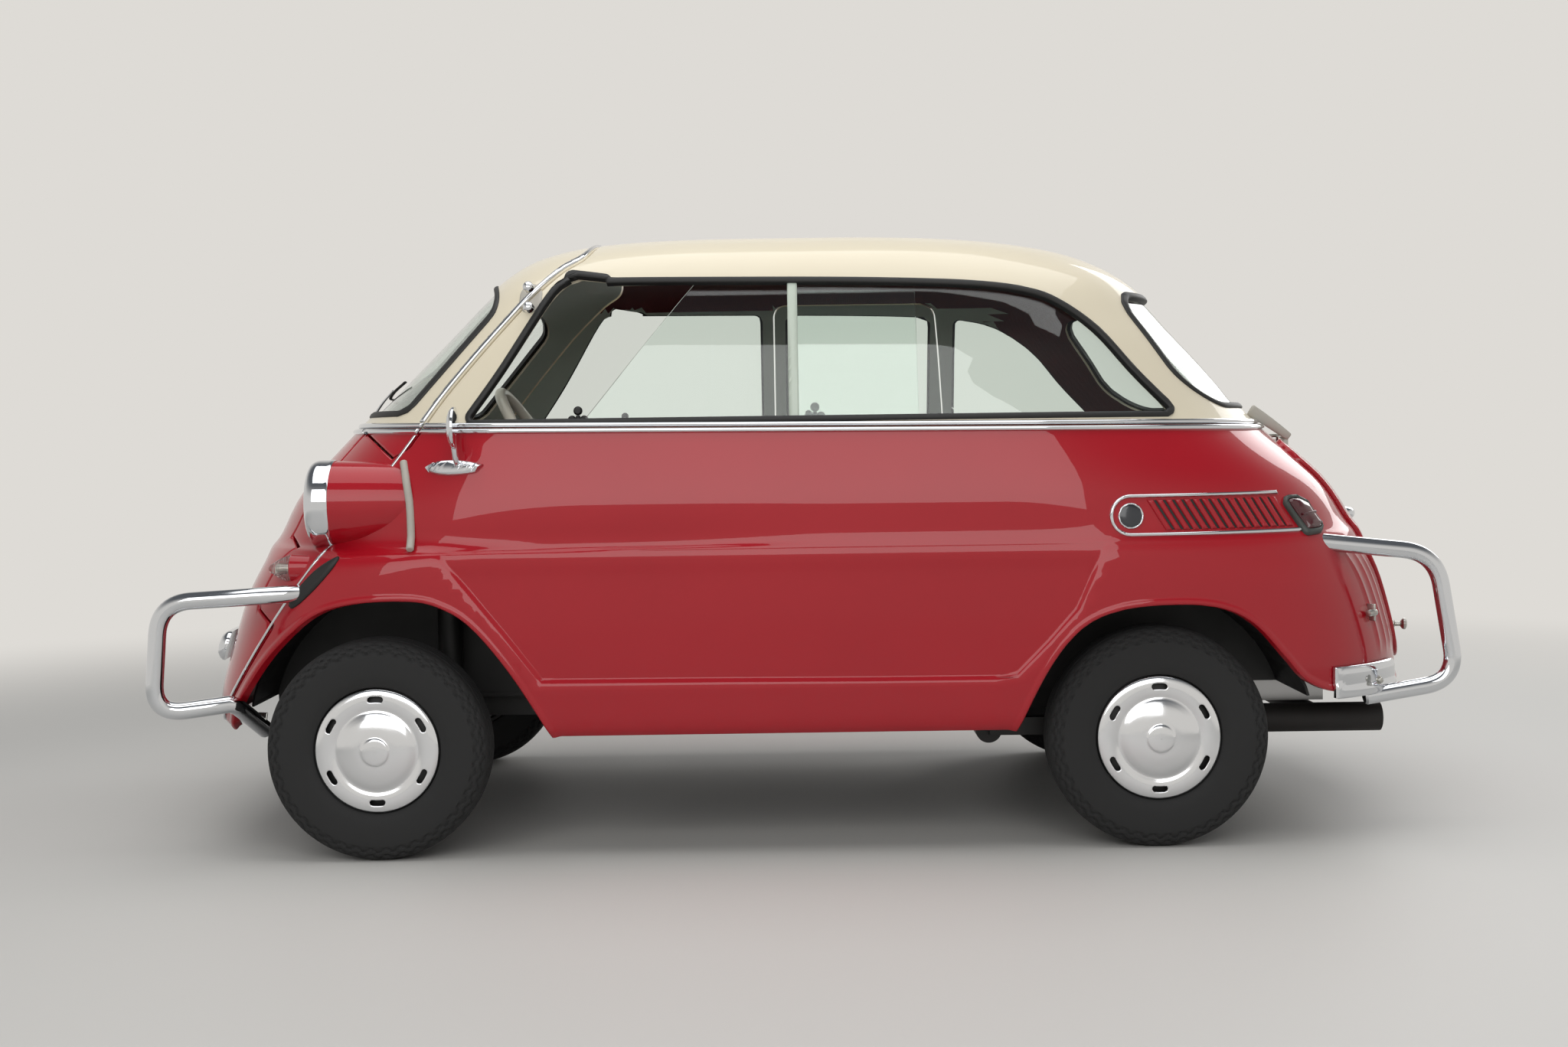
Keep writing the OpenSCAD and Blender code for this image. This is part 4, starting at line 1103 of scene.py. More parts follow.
@dataclass(frozen=True)
class Cuts:
    """Lines where the body's panels meet and where glass is set in."""

    half_gap: float = 2.0
    seam: tuple = (
        ((-377, 1423), (-396, 1327), (-456, 1280), (-551, 1188), (-696, 1019))
        + ((-809, 862), (-1051, 554), (-1206, 336), (-1294, 210))
    )
    hinge_low: tuple = (-1160.0, -639.8, 500.24)
    hinge_top: tuple = (-500.0, -529.9, 1239.63)
    recesses: tuple = ((196.5, 223.0, 510.0), (91.5, 63.0, 240.0))
    door_x: tuple = (16.5, 523.5)
    door_z: tuple = (390.5, 1281.5)
    door_lean: float = 0.26
    door_out: float = 770.0
    door_corner: float = 34.0
    lid_half: float = 348.5
    lid_z: tuple = (368.5, 883.5)
    lid_corner: float = 70.0
    lid_x: float = 894.0

    def __post_init__(self) -> None:
        """Prepares the seam's smooth line."""
        line = curve(self.seam, 8)
        ring = np.concatenate([line, [(-FAR, line[-1][1]), (-FAR, line[0][1])]])
        object.__setattr__(self, "_seam", outline_field(ring))

    def seam_line(self, points: Array) -> Array:
        """Returns the distance ahead of the front door's seam, seen from the side."""
        return self._seam(points)

    def recess(self, points: Array) -> Array:
        """Returns the field of the body's parts around the headlamp pods and turn lamps."""
        low, top = np.array(self.hinge_low), np.array(self.hinge_top)
        way = unit(top - low)
        q = points * (1, 0, 1) - np.abs(points) * (0, 1, 0) - low
        along = q @ way
        off = np.linalg.norm(q - along[:, None] * way, axis=1)
        parts = [np.min([r - off, along - a, b - along], axis=0) for r, a, b in self.recesses]
        return np.max(parts, axis=0)

    def front_door(self, points: Array) -> Array:
        """Returns the field of the front door."""
        return np.minimum(self._seam(points), -self.recess(points))

    def side_door(self, points: Array) -> Array:
        """Returns the field of the right side door, whose rear edge leans."""
        x, y, z = points.T
        rear = self.door_x[1] - self.door_lean * (self.door_out - y)
        across = np.minimum(x - self.door_x[0], rear - x)
        upright = np.minimum(z - self.door_z[0], self.door_z[1] - z)
        return np.minimum(rounded_corner(across, upright, self.door_corner), y)

    def lid(self, points: Array) -> Array:
        """Returns the field of the engine lid."""
        x, y, z = points.T
        upright = np.minimum(z - self.lid_z[0], self.lid_z[1] - z)
        inside = rounded_corner(self.lid_half - np.abs(y), upright, self.lid_corner)
        return np.minimum(inside, x - self.lid_x)


CUTS = Cuts()
WINDOW_LINE = (
    [(-658, 949), (-575, 1068), (-468, 1240), (-432, 1256), (-397, 1260), (64, 1255), (306, 1249)]
    + [(479, 1240), (584, 1225), (654, 1199), (740, 1137), (824, 1040), (916, 947)]
)
WINDOW = soft_outline_field(curve(WINDOW_LINE, 4)[::-1], 12)
SCREEN = soft_outline_field([(-FAR, 973), (-801, 973), (-540, 1276), (-FAR, 1276)], 55)
REAR_GLASS_OUTLINE = soft_outline_field([(-490, 966), (490, 966), (420, 1222), (-420, 1222)], 70, (1, 2))
# Distance from the middle where the sides begin
SIDE_FROM = 10.0


def rear_glass(points: Array) -> Array:
    """Returns the field of the rear window."""
    return np.minimum(REAR_GLASS_OUTLINE(points), points[:, 0] - 400)


def left_window(points: Array) -> Array:
    """Returns the field of the long left window."""
    return np.minimum(WINDOW(points), -points[:, 1] - SIDE_FROM)


def right_window(start: float, end: float, corner_r: float) -> Field:
    """Returns the field of a right window between two lengths."""

    def inside(points: Array) -> Array:
        x, y, _ = points.T
        across = np.minimum(x - start, end - x)
        return np.minimum(rounded_corner(WINDOW(points), across, corner_r), y - SIDE_FROM)

    return inside


# Right windows ahead of the side door, behind it and in it
FRONT_PANE, REAR_PANE = right_window(-FAR, -15.0, 20.0), right_window(514.0, FAR, 20.0)
DOOR_PANE = right_window(48.0, 451.0, 24.0)
FIXED_WINDOWS = (left_window, FRONT_PANE, REAR_PANE, rear_glass)
# Rolled edge of the sheet metal
EDGE = Shoulder(5.0, 5.0)


@dataclass(frozen=True)
class Coat:
    """Paint outside and lining inside a panel, and a slot name for them."""

    paint: Finish
    lining: Finish
    slot: str


RED = Coat(RED_LACQUER, TRIM_VINYL, "red_paint")
RED_LID = Coat(RED_LACQUER, CHASSIS_BLACK, "red_paint")
CREAM = Coat(CREAM_LACQUER, PALE_ENAMEL, "cream_paint")
CREAM_ROOF = Coat(CREAM_LACQUER, HEADLINING, "cream_paint")


@dataclass
class BodyPanels:
    """Painted panels cut from the body's form where the real ones meet."""

    skin: BodySkin
    patch: Patch
    depth: float = 20.0
    lining_low: float = 1264.0
    pillar_rear: float = 620.0
    lid_gap: float = 5.0
    lid_lift: float = 9.0

    def build(self) -> None:
        """Builds the body, roof, doors and lid."""
        gap = CUTS.half_gap
        flanks = [(FLANK, (2.0, 5.0, 8.0, 12.0, 16.0)), (arches, (-18.0, -12.0, -5.0))]
        ribs = [(half_width, [at + step for at in TAIL_RIBS for step in (-9.0, -3.0, 3.0, 9.0)])]
        fixed = [outside(CUTS.front_door, gap), outside(CUTS.side_door, gap)]
        front, side = shrunk(CUTS.front_door, gap), shrunk(CUTS.side_door, gap)
        off_arches = outside(arches)
        lower = fixed + [below_belt, sill, outside(CUTS.lid, self.lid_gap), off_arches]
        windows = [outside(window) for window in FIXED_WINDOWS]
        self._add("body_lower", lower, flanks + ribs, RED, Body.CAR)
        self._add("roof_shell", fixed + [belt] + windows, [], CREAM_ROOF, Body.CAR)
        self._add("front_door_panel", [front, below_belt, sill, off_arches], flanks, RED, Body.FRONT_DOOR)
        self._add("windscreen_frame", [front, belt, outside(SCREEN)], [], CREAM, Body.FRONT_DOOR)
        self._add("side_door_panel", [side, below_belt], flanks[:1], RED, Body.SIDE_DOOR)
        self._add("side_door_frame", [side, belt, outside(DOOR_PANE)], [], CREAM, Body.SIDE_DOOR)
        self._add("engine_lid", [shrunk(CUTS.lid, gap)], [], RED_LID, Body.LID, self.lid_lift)

    def _add(
        self,
        node: str,
        regions: list[Field],
        creases: list[tuple[Field, Floats]],
        coat: Coat,
        body: Body,
        lift: float = 0.0,
    ) -> None:
        """Cuts one panel and adds it in place of its frame node; inner pillars are enamelled."""
        shape = self.skin.panel(self.patch, regions, EDGE, self.depth - lift, lift, creases)
        x, z = shape.points[:, 0], shape.points[:, 2]
        pillar = (z < self.lining_low) & (z > BELT_Z) & (x < self.pillar_rear)
        shape.finish = [2 if k == 1 and pillar[f[0]] else k for k, f in zip(shape.finish, shape.faces)]
        add_piece(node + "_skin", shape, [coat.paint, coat.lining, PALE_ENAMEL], body, [node])


@dataclass
class Glazing:
    """Window glass, rubber seals and the left window's divider."""

    skin: BodySkin
    patch: Patch
    inset: float = 9.0
    thick: float = 4.0
    clearance: float = 0.6
    divider_x: float = 64.0
    divider_half: float = 11.0
    seal: Shoulder = Shoulder(6.5, 5.0)

    def build(self) -> None:
        """Builds every pane and seal."""
        panes = [
            ("windscreen", SCREEN, Body.FRONT_DOOR, "windscreen"),
            ("rear_window", rear_glass, Body.CAR, "rear_window"),
            ("side_door_glass", DOOR_PANE, Body.SIDE_DOOR, "side_door_glass"),
        ]
        for name, region, body, node in panes:
            add_piece(name + "_pane", self._pane(region), SHEET_GLASS, body, [node])
        right = joined([self._pane(region) for region in (FRONT_PANE, REAR_PANE)])
        add_piece("right_side_panes", right, SHEET_GLASS, Body.CAR)
        self._left_panes()
        self._seals()

    def _pane(self, window: Field, limits: Sequence[Field] = (), extra: float = 0.0) -> Shape:
        """Returns a pane of glass set below the skin."""
        drop = self.inset + extra
        regions = [shrunk(window, self.clearance), *limits]
        return self.skin.panel(self.patch, regions, Shoulder(1.5, 1.5), drop + self.thick, lift=-drop)

    def _left_panes(self) -> None:
        """Adds the left window: a fixed rear pane, and a front pane that is slid back behind it."""

        def behind_divider(p: Array) -> Array:
            return p[:, 0] - self.divider_x

        def slid(p: Array) -> Array:
            lean = (p[:, 0] + 405) * 0.78 - (p[:, 2] - 940) * 0.62
            return np.minimum(lean, 335 - p[:, 0])

        fixed = self._pane(left_window, [behind_divider])
        moved = self._pane(left_window, [slid], 7.0)
        add_piece("left_fixed_pane", fixed, SHEET_GLASS, Body.CAR, ["side_glass"])
        add_piece("left_sliding_pane", moved, SHEET_GLASS, Body.CAR)
        regions = [shrunk(left_window, self.clearance), band(behind_divider, 0.0, self.divider_half)]
        creases = [(behind_divider, (0.0,))]
        bar = self.skin.panel(self.patch, regions, Shoulder(4, 4), 20, lift=-2, creases=creases)
        add_piece("left_window_divider", bar, PALE_ENAMEL, Body.CAR)

    def _seals(self) -> None:
        """Adds the rubber seals round the glass."""
        seals = [
            ("windscreen_seal", [SCREEN], Body.FRONT_DOOR),
            ("fixed_window_seals", FIXED_WINDOWS, Body.CAR),
            ("side_door_window_seal", [DOOR_PANE], Body.SIDE_DOOR),
        ]
        for name, regions, body in seals:
            shapes = [self.skin.bead(self.patch, region, 0.0, self.seal, 10.0) for region in regions]
            add_piece(name, joined(shapes), SEAL_RUBBER, body)


@dataclass
class BrightTrim:
    """Belt rails, seam strips, side vents and door handle."""

    skin: BodySkin
    patch: Patch
    close: Patch
    rail: Shoulder = Shoulder(5.4, 8.0)
    rail_step: float = 6.4

    def build(self) -> None:
        """Builds every strip."""
        gap = CUTS.half_gap
        fixed = [outside(CUTS.front_door, gap), outside(CUTS.side_door, gap)]
        self._rails("belt_rails", fixed, Body.CAR, ["belt_rails"])
        self._rails("front_door_rails", [shrunk(CUTS.front_door, gap)], Body.FRONT_DOOR, [])
        self._rails("side_door_rails", [shrunk(CUTS.side_door, gap)], Body.SIDE_DOOR, [])
        above = [shrunk(belt, 14.0), outside(CUTS.recess)]
        below = [shrunk(below_belt, 14.0), sill, on_side(Side.LEFT)]
        self._strip("door_seam_strip", 9.0, 5.0, above, Body.FRONT_DOOR)
        self._strip("door_seam_bead", 5.0, 2.6, below, Body.CAR)
        self._vents()
        self._handle()

    def _strip(self, name: str, centre: float, half: float, limits: list[Field], body: Body) -> None:
        """Adds one bright bead beside the front door's seam."""
        shape = self.skin.bead(self.patch, CUTS.seam_line, centre, Shoulder(half, half), 2.0, limits)
        add_piece(name, shape, CHROME, body)

    def _rails(self, name: str, limits: list[Field], body: Body, nodes: list[str]) -> None:
        """Adds the double rail of the belt."""
        levels = (-self.rail_step, self.rail_step)
        shapes = [self.skin.bead(self.patch, belt, level, self.rail, 2.0, limits) for level in levels]
        add_piece(name, joined(shapes), CHROME, body, nodes)

    def _vents(self) -> None:
        """Adds the side vents: a bright strip open behind, pressed louvres with painted shade between them,
        and a plain badge.
        """
        mid, end_r, front, rear, lean = 729.0, 45.0, 782.0, 1127.0, 55.0
        turn = np.linspace(math.pi / 2, 3 * math.pi / 2, 19)
        nose = np.stack([front + end_r * np.cos(turn), mid + end_r * np.sin(turn)], axis=1)
        tail = [(rear + lean + 40, mid - end_r), (rear + 40, mid + end_r)]
        vent = outline_field(np.concatenate([nose, tail]))

        def slant(p: Array) -> Array:
            return p[:, 0] + (p[:, 2] - mid) * lean / (2 * end_r) - rear - lean / 2

        rim = self.skin.bead(self.close, vent, 3.6, Shoulder(4.2, 6.0), 2.0, [outside(slant, 2.0)])
        add_piece("side_vent_strips", rim, CHROME, Body.CAR, ["side_vents"])
        count, pitch, first, louvre = 15, 20.4, -308.4, Shoulder(7.2, 5.5)
        reach = (count // 2) * pitch
        inlet = [shrunk(vent, 13), band(slant, first + reach, reach + louvre.width)]
        # Black sheet just off the skin under the louvres: painted shade where the vent's slits open into the
        # body
        slots = self.skin.panel(self.patch, inlet, Shoulder(1, 1), 3.0, lift=0.7)
        louvres = [
            self.skin.bead(self.patch, slant, first + k * pitch, louvre, 0.0, [shrunk(vent, 12)])
            for k in range(count)
        ]
        add_piece("side_vent_slit_shade", slots, CHASSIS_BLACK, Body.CAR)
        add_piece("side_vent_louvres", joined(louvres), RED_LACQUER, Body.CAR)
        self._badges()

    def _badges(self) -> None:
        """Adds the plain round badges of the vents."""
        disc = box_field((783, 728), (28, 28), 27.9)
        face = self.skin.panel(self.close, [shrunk(disc, 2)], EDGE, 1.0, lift=2.0, crown=Shoulder(24.0, 3.0))
        ring = self.skin.bead(self.close, disc, 2.0, Shoulder(2.4, 4.5), 1.0)
        add_piece("vent_badges", face, BADGE_ENAMEL, Body.CAR)
        add_piece("vent_badge_rings", ring, CHROME, Body.CAR)

    def _handle(self) -> None:
        """Adds the side door's pull handle on two posts."""
        y = 655.0
        grip = bent([(358, y, 823), (364, y + 22, 823), (424, y + 22, 823), (430, y, 823)], 12)
        shape = tube(grip, 9.0, flat=0.7)
        add_piece("side_door_handle", shape, CHROME, Body.SIDE_DOOR, ["side_door_trim"])


def facing_front(shape: Shape, at: Floats) -> Shape:
    """Turns a shape's local z to the front of the car and moves it to a place."""
    return shape.moved(axes_to((-1, 0, 0)), at)


def rivet(at: Floats, way: Floats, radius: float, height: float) -> Shape:
    """Returns a domed bolt head on a thin washer."""
    profile = [(radius * 1.5, -1.0), (radius * 1.5, 0.6), (radius * 1.42, 1.2), (radius, 1.4)]
    profile += [(radius, height * 0.6), (radius * 0.86, height * 0.85), (radius * 0.5, height), (0, height)]
    return lathe(profile, 24).moved(axes_to(way), at)


@dataclass
class Lamps:
    """Headlamps in their pods, turn lamps, tail lamps, the plate lamp and the pods' welts."""

    skin: BodySkin
    patch: Patch
    pod_at: tuple = (-1004.0, -545.0, 774.0)
    turn_at: tuple = (-1041.0, -592.0, 636.0)
    lens_r: float = 79.0

    def build(self) -> None:
        """Builds every lamp."""
        pod = [(80, -246), (86, -240), (90, -200), (94, -120), (96, -50), (96.5, -30), (90, -28)]
        ring = [(92, -53), (97, -54), (98.4, -52), (98.8, -48), (98.2, -44), (98.0, -24), (97.4, -16)]
        ring += [(95, -9), (91, -4), (86, -1.0), (82, -0.4), (79.6, -1.8), (78.6, -5), (78.4, -15)]
        ring += [(70, -38), (40, -58), (0, -62)]
        glow = [(8, -62), (8, -50), (14, -46), (15, -38), (11, -30), (0, -27)]
        parts = [
            ("headlamp_pod_shells", lathe(pod, 96), RED_LACQUER, "red_paint", ["headlamp_pods"]),
            ("headlamp_bezels", lathe(ring, 128), CHROME, "chrome", ["headlamps"]),
            ("headlamp_glass", self._lens(), LAMP_GLASS, "glass", ["headlamp_lenses"]),
            ("headlamp_bulbs", lathe(glow, 32), SILVERED, "chrome", []),
        ]
        self._pairs(parts, self.pod_at)
        self._turn_lamps()
        self._tail_lamps()
        self._straps()

    def _pairs(self, parts: list[tuple], at: Floats) -> None:
        """Adds turned parts that face the front at a place on the left, and their mirror images."""
        for name, shape, finish, slot, nodes in parts:
            add_piece(name, both_sides(facing_front(shape, at)), finish, Body.CAR, nodes)

    def _lens(self) -> Shape:
        """Returns a fluted lens with its front crowned and its back flat."""
        rings, around = 24, 144
        rim_z, crown, flute_h, flute_pitch, back_z = -3.0, 6.2, 0.9, 9.0, -8.5
        radii = np.linspace(1.0, self.lens_r - 0.8, rings)
        angle = np.linspace(0, math.tau, around, endpoint=False)
        rr, aa = np.meshgrid(radii, angle, indexing="ij")
        x, y = rr * np.cos(aa), rr * np.sin(aa)
        flutes = np.abs(np.sin(x * math.pi / flute_pitch)) * (1 - ramp(60, 70, rr))
        z = rim_z + crown * (1 - (rr / self.lens_r) ** 2) + flute_h * flutes
        front = np.stack([x, y, z], axis=-1)[::-1]
        back = np.stack([x, y, np.full_like(x, back_z)], axis=-1)
        return closed_rings(np.concatenate([back, front]).reshape(-1, 3), around)

    def _turn_lamps(self) -> None:
        """Adds the ribbed cones and their painted stalks."""
        base_r, taper, length, ribs, rib_h, steps = 30.0, 21.0, 46, 9, 0.8, 40
        cone = [(base_r, -2.0), (base_r, 0.0)]
        for k in range(steps):
            t = (k + 1) / steps
            cone.append((base_r - taper * t**1.5 + rib_h * math.cos(t * math.tau * ribs), length * t))
        cone += [(8.0, 48.5), (5.5, 50.5), (2.5, 51.4), (0, 51.6)]
        stalk = [(20, -80), (26, -78), (29, -40), (31.5, -8), (32.5, -1), (31, 0.8), (20, 1)]
        glow = [(7, 0), (7, 14), (9, 20), (9, 28), (6, 34), (0, 36)]
        parts = [
            ("turn_lamp_cones", lathe(cone, 64), CLEAR_ACRYLIC, "clear_plastic", ["turn_lamps"]),
            ("turn_lamp_stalks", lathe(stalk, 64), RED_LACQUER, "red_paint", []),
            ("turn_lamp_bulbs", lathe(glow, 24), ZINC, "chrome", []),
        ]
        self._pairs(parts, self.turn_at)

    def _tail_lamps(self) -> None:
        """Adds the slanted tail lamp lenses in grey gaskets, and the plate lamp's hood."""
        leaf = soft_outline_field([(1190, 677), (1244, 681), (1202, 746), (1174, 759), (1134, 759)], 11)
        dome = Shoulder(21.0, 17.0)
        glass = self.skin.panel(self.patch, [shrunk(leaf, 5)], EDGE, 1.0, lift=4.0, crown=dome)
        rim = self.skin.bead(self.patch, leaf, 2.0, Shoulder(5.5, 11.0), 2.0)

        def across(p: Array) -> Array:
            return p[:, 2] - 716 - (p[:, 0] - 1185) * 0.1

        bar = self.skin.bead(self.patch, across, 0.0, Shoulder(2.4, 2.4), 1.0, [shrunk(leaf, 8)], 19.0)
        add_piece("tail_lamp_lenses", glass, RED_ACRYLIC, Body.CAR, ["tail_lamps"])
        add_piece("tail_lamp_gaskets", rim, GASKET, Body.CAR)
        add_piece("tail_lamp_bars", bar, RED_ACRYLIC, Body.CAR)
        self._plate_lamp()

    def _plate_lamp(self) -> None:
        """Adds the plate lamp: a bright hood on the lid with a lens below it."""
        z, half = 699.0, 62.0
        root = self.skin.end_x(0, z, 1) - 6
        spots = [(0, -half), (44, -half + 6), (60, 0), (44, half - 6), (0, half)]
        line = curve([(root + x, y, z) for x, y in spots], 8)
        hood = [tube(line, 15.0, 20, 0.9), block((root, -half + 8, z - 8), (root + 58, half - 8, z + 15), 9)]
        add_piece("plate_lamp_hood", joined(hood), CHROME, Body.LID, ["plate_lamp"])
        glass = block((root + 8, -half + 18, z - 17), (root + 50, half - 18, z - 6), 4)
        add_piece("plate_lamp_lens", glass, LAMP_GLASS, Body.LID)

    def _straps(self) -> None:
        """Adds the pale rubber welts between the pods and the wings."""
        pod_r = 89.0
        line = []
        for x, z in curve([(-792, 867), (-772, 781), (-765, 678)], 8):
            pod_half = math.sqrt(max(0.0, pod_r**2 - (z - self.pod_at[2]) ** 2))
            line.append((x, -max(self.skin.side_y(x, z), pod_half - self.pod_at[1]), z))
        straps = both_sides(tube(np.array(line), 8.5, 16))
        add_piece("pod_straps", straps, PALE_RUBBER, Body.CAR)


@dataclass
class Bumpers:
    """Chrome hoops, the nose blade, corner blades, rubber pads and brackets."""

    skin: BodySkin
    patch: Patch
    hoop_r: float = 19.0

    def build(self) -> None:
        """Builds every bumper piece."""
        spots = [(-990, -600, 584), (-1048, -658, 584), (-1314, -658, 570), (-1334, -658, 326)]
        front = bent(spots + [(-1185, -602, 340)], 70, 14)
        front = np.concatenate([front[:-1], bent([front[-1], (-1172, -590, 334), (-1138, -480, 262)], 9, 8)])
        rear = bent([(1200, -520, 661), (1490, -520, 629), (1538, -520, 343), (1330, -520, 309)], 74, 16)
        for end, line in (("front", front), ("rear", rear)):
            hoops = both_sides(tube(line, self.hoop_r, 28))
            add_piece(f"{end}_hoops", hoops, CHROME, Body.CAR, [f"{end}_bumpers"])
        self._blades()
        self._pads()

    def _blades(self) -> None:
        """Adds the blade across the nose and the rear corner blades."""
        nose = box_field((0, 432), (330, 34), 30, (1, 2))

        def nose_blade(p: Array) -> Array:
            return np.minimum(nose(p), -p[:, 0])

        shape = self.skin.panel(self.patch, [nose_blade], EDGE, -16.0, lift=20.0, crown=Shoulder(34.0, 20.0))
        add_piece("nose_blade", shape, CHROME, Body.FRONT_DOOR, ["front_door_trim"])
        corner = box_field((580, 354), (130, 35), 12, (1, 2))

        def corner_blade(p: Array) -> Array:
            q = np.abs(p * (0, 1, 0)) + p * (1, 0, 1)
            return np.minimum(corner(q), p[:, 0] - 1232)

        shape = self.skin.panel(self.patch, [corner_blade], EDGE, -2.0, lift=7.0, crown=Shoulder(17.0, 9.0))
        add_piece("rear_corner_blades", shape, CHROME, Body.CAR)
        bolt = rivet((1349, -569, 352), (0.55, -0.83, 0), 6.5, 8)
        add_piece("rear_blade_bolts", both_sides(bolt), ZINC, Body.CAR)
        self._brackets()

    def _brackets(self) -> None:
        """Adds the bolted plates at the front hoops' lower ends."""
        way = (-0.32, -0.9, 0.3)
        plate = block((-24, -15, -2), (24, 15, 2), 1.8).moved(axes_to(way), (-1152, -500, 292))
        bolts = [rivet((-1152 + k * 13, -504, 293 - k * 5), way, 5.0, 8) for k in (-1, 1)]
        add_piece("front_hoop_plates", both_sides(joined([plate] + bolts)), ZINC, Body.CAR)

    def _pads(self) -> None:
        """Adds the rubber leaf pads on the wings."""
        spots = [(-925, 664), (-979, 634), (-1035, 575), (-1033, 551), (-991, 581), (-939, 635)]
        leaf = outline_field(curve(spots, 6, True))
        shape = self.skin.panel(self.patch, [leaf], EDGE, 1.0, crown=Shoulder(10.0, 6.0))
        add_piece("wing_pads", shape, SEAL_RUBBER, Body.CAR)


@dataclass
class Hardware:
    """Hinges, knobs, the nose handle, the wiper and the window latches."""

    skin: BodySkin
    patch: Patch
    nose_hinge: tuple = (-518.0, 1225.0)
    door_hinge: tuple = (16.5, 706.0)
    door_hinge_z: tuple = (456.0, 690.9)
    lid_hinge: tuple = (1236.7, 893.0)

    def build(self) -> None:
        """Builds every small fitting."""
        self._nose_hinge()
        self._side_hinges()
        self._lid_hinges()
        self._lid_knobs()
        self._nose_handle()
        self._wiper()
        self._latches()

    def _nose_hinge(self) -> None:
        """Adds the front door's hinge: two bright domes on a pale pad, one for each body."""
        x, z = self.nose_hinge
        oval = box_field((x, z), (27, 34), 26.5)
        left = both(oval, on_side(Side.LEFT))
        dome = [(12, -7), (12, 1), (11, 5), (8, 8), (4, 10), (0, 10.4)]
        way = (-0.24, -0.86, 0.45)
        gap = CUTS.half_gap
        halves = [
            (Body.FRONT_DOOR, shrunk(CUTS.front_door, gap), (x, -539, z + 23)),
            (Body.CAR, outside(CUTS.front_door, gap), (x + 1, -552, z - 22)),
        ]
        for body, limit, at in halves:
            pad = self.skin.panel(self.patch, [left, limit], EDGE, 1.0, crown=Shoulder(7.0, 3.0))
            add_piece(f"nose_hinge_pad_{body.value}", pad, PALE_RUBBER, body)
            ball = lathe(dome, 40).moved(axes_to(way), at)
            add_piece(f"nose_hinge_dome_{body.value}", ball, CHROME, body)

    def _side_hinges(self) -> None:
        """Adds the side door's hinge knuckles with their leaves."""
        x, y = self.door_hinge
        knuckle = [(5, 0), (7, 1.5), (7, 20.5), (5, 22)]
        for body, sign, base in ((Body.CAR, -1.0, -22.3), (Body.SIDE_DOOR, 1.0, 0.3)):
            shapes = []
            for z in self.door_hinge_z:
                shapes.append(lathe(knuckle, 32).moved(np.eye(3), (x, y, z + base)))
                reach = sorted((x + sign * 3, x + sign * 38))
                shapes.append(block((reach[0], y - 8, z + base + 1), (reach[1], y + 3, z + base + 21), 2.5))
            add_piece(f"side_hinge_{body.value}", joined(shapes), CHROME, body)

    def _lid_hinges(self) -> None:
        """Adds the lid's hinge knuckles and the pale covers above them."""
        x, z = self.lid_hinge
        knuckle = lathe([(4.5, 0), (6, 1.5), (6, 22.5), (4.5, 24)], 28)
        halves = [(Body.CAR, -200.0, (-42, 0, -3, 6)), (Body.LID, -224.3, (-20, 5, -44, 0))]
        for body, start, arm in halves:
            rod = knuckle.moved(axes_to((0, 1, 0)), (x, start, z))
            leaf = block((x + arm[0], start + 1, z + arm[2]), (x + arm[1], start + 23, z + arm[3]), 2.5)
            add_piece(f"lid_hinge_{body.value}", both_sides(joined([rod, leaf])), ZINC, body)
        line = curve([(1146, -238, 956), (1180, -238, 934), (1216, -238, 908), (1240, -238, 890)], 6)
        strap = tube(line, np.linspace(15, 9, len(line)), 16, 0.34)
        add_piece("lid_hinge_covers", both_sides(strap), PALE_RUBBER, Body.CAR)

    def _lid_knobs(self) -> None:
        """Adds the lid's turned knobs and the pegs on the body beside it."""
        turned = [(8, -6), (10, 0), (10, 4), (6, 7), (5.5, 18), (11, 22), (13.5, 26), (13, 30)]
        turned += [(8, 33), (0, 34)]
        y, z = -292.0, 448.0
        at = (self.skin.end_x(y, z, 1) + 8, y, z)
        knob = lathe(turned, 36).moved(axes_to((0.97, -0.24, 0)), at)
        add_piece("lid_knobs", both_sides(knob), ZINC, Body.LID)
        y, z = -506.0, 497.0
        at = np.array([self.skin.end_x(y, z, 1), y, z])
        out = np.array([0.62, -0.78, 0.0])
        rod = lathe([(7, -6), (8, 0), (8, 20), (6.5, 23), (0, 24)], 28)
        peg = rod.moved(axes_to((-0.75, -0.66, 0)), at + out * 14)
        foot = block((-3, -19, -4), (3, 19, 18), 2.4).moved(axes_to(out), at)
        add_piece("lid_pegs", both_sides(joined([peg, foot])), ZINC, Body.CAR)

    def _nose_handle(self) -> None:
        """Adds the front door's handle on the nose."""
        spots = [(796, 4), (806, 24), (836, 30), (862, 24), (872, 4)]
        line = curve([(self.skin.end_x(0, z, -1) - off, 0, z) for z, off in spots], 6)
        grip = tube(line, 8.5, 20, 0.8)
        ball = lathe([(6, -4), (11, 1), (13, 7), (11, 13), (5, 16.5), (0, 17)], 32)
        lock = ball.moved(axes_to((-1, 0, 0.5)), (self.skin.end_x(0, 812, -1) - 18, 0, 812))
        add_piece("nose_handle", joined([grip, lock]), CHROME, Body.FRONT_DOOR)

    def _wiper(self) -> None:
        """Adds the wiper: a bright arm and a rubber blade lying low on the windscreen."""

        def off_glass(y: float, z: float, off: float) -> tuple[float, float, float]:
            return (self.skin.end_x(y, z, -1) - off, y, z)

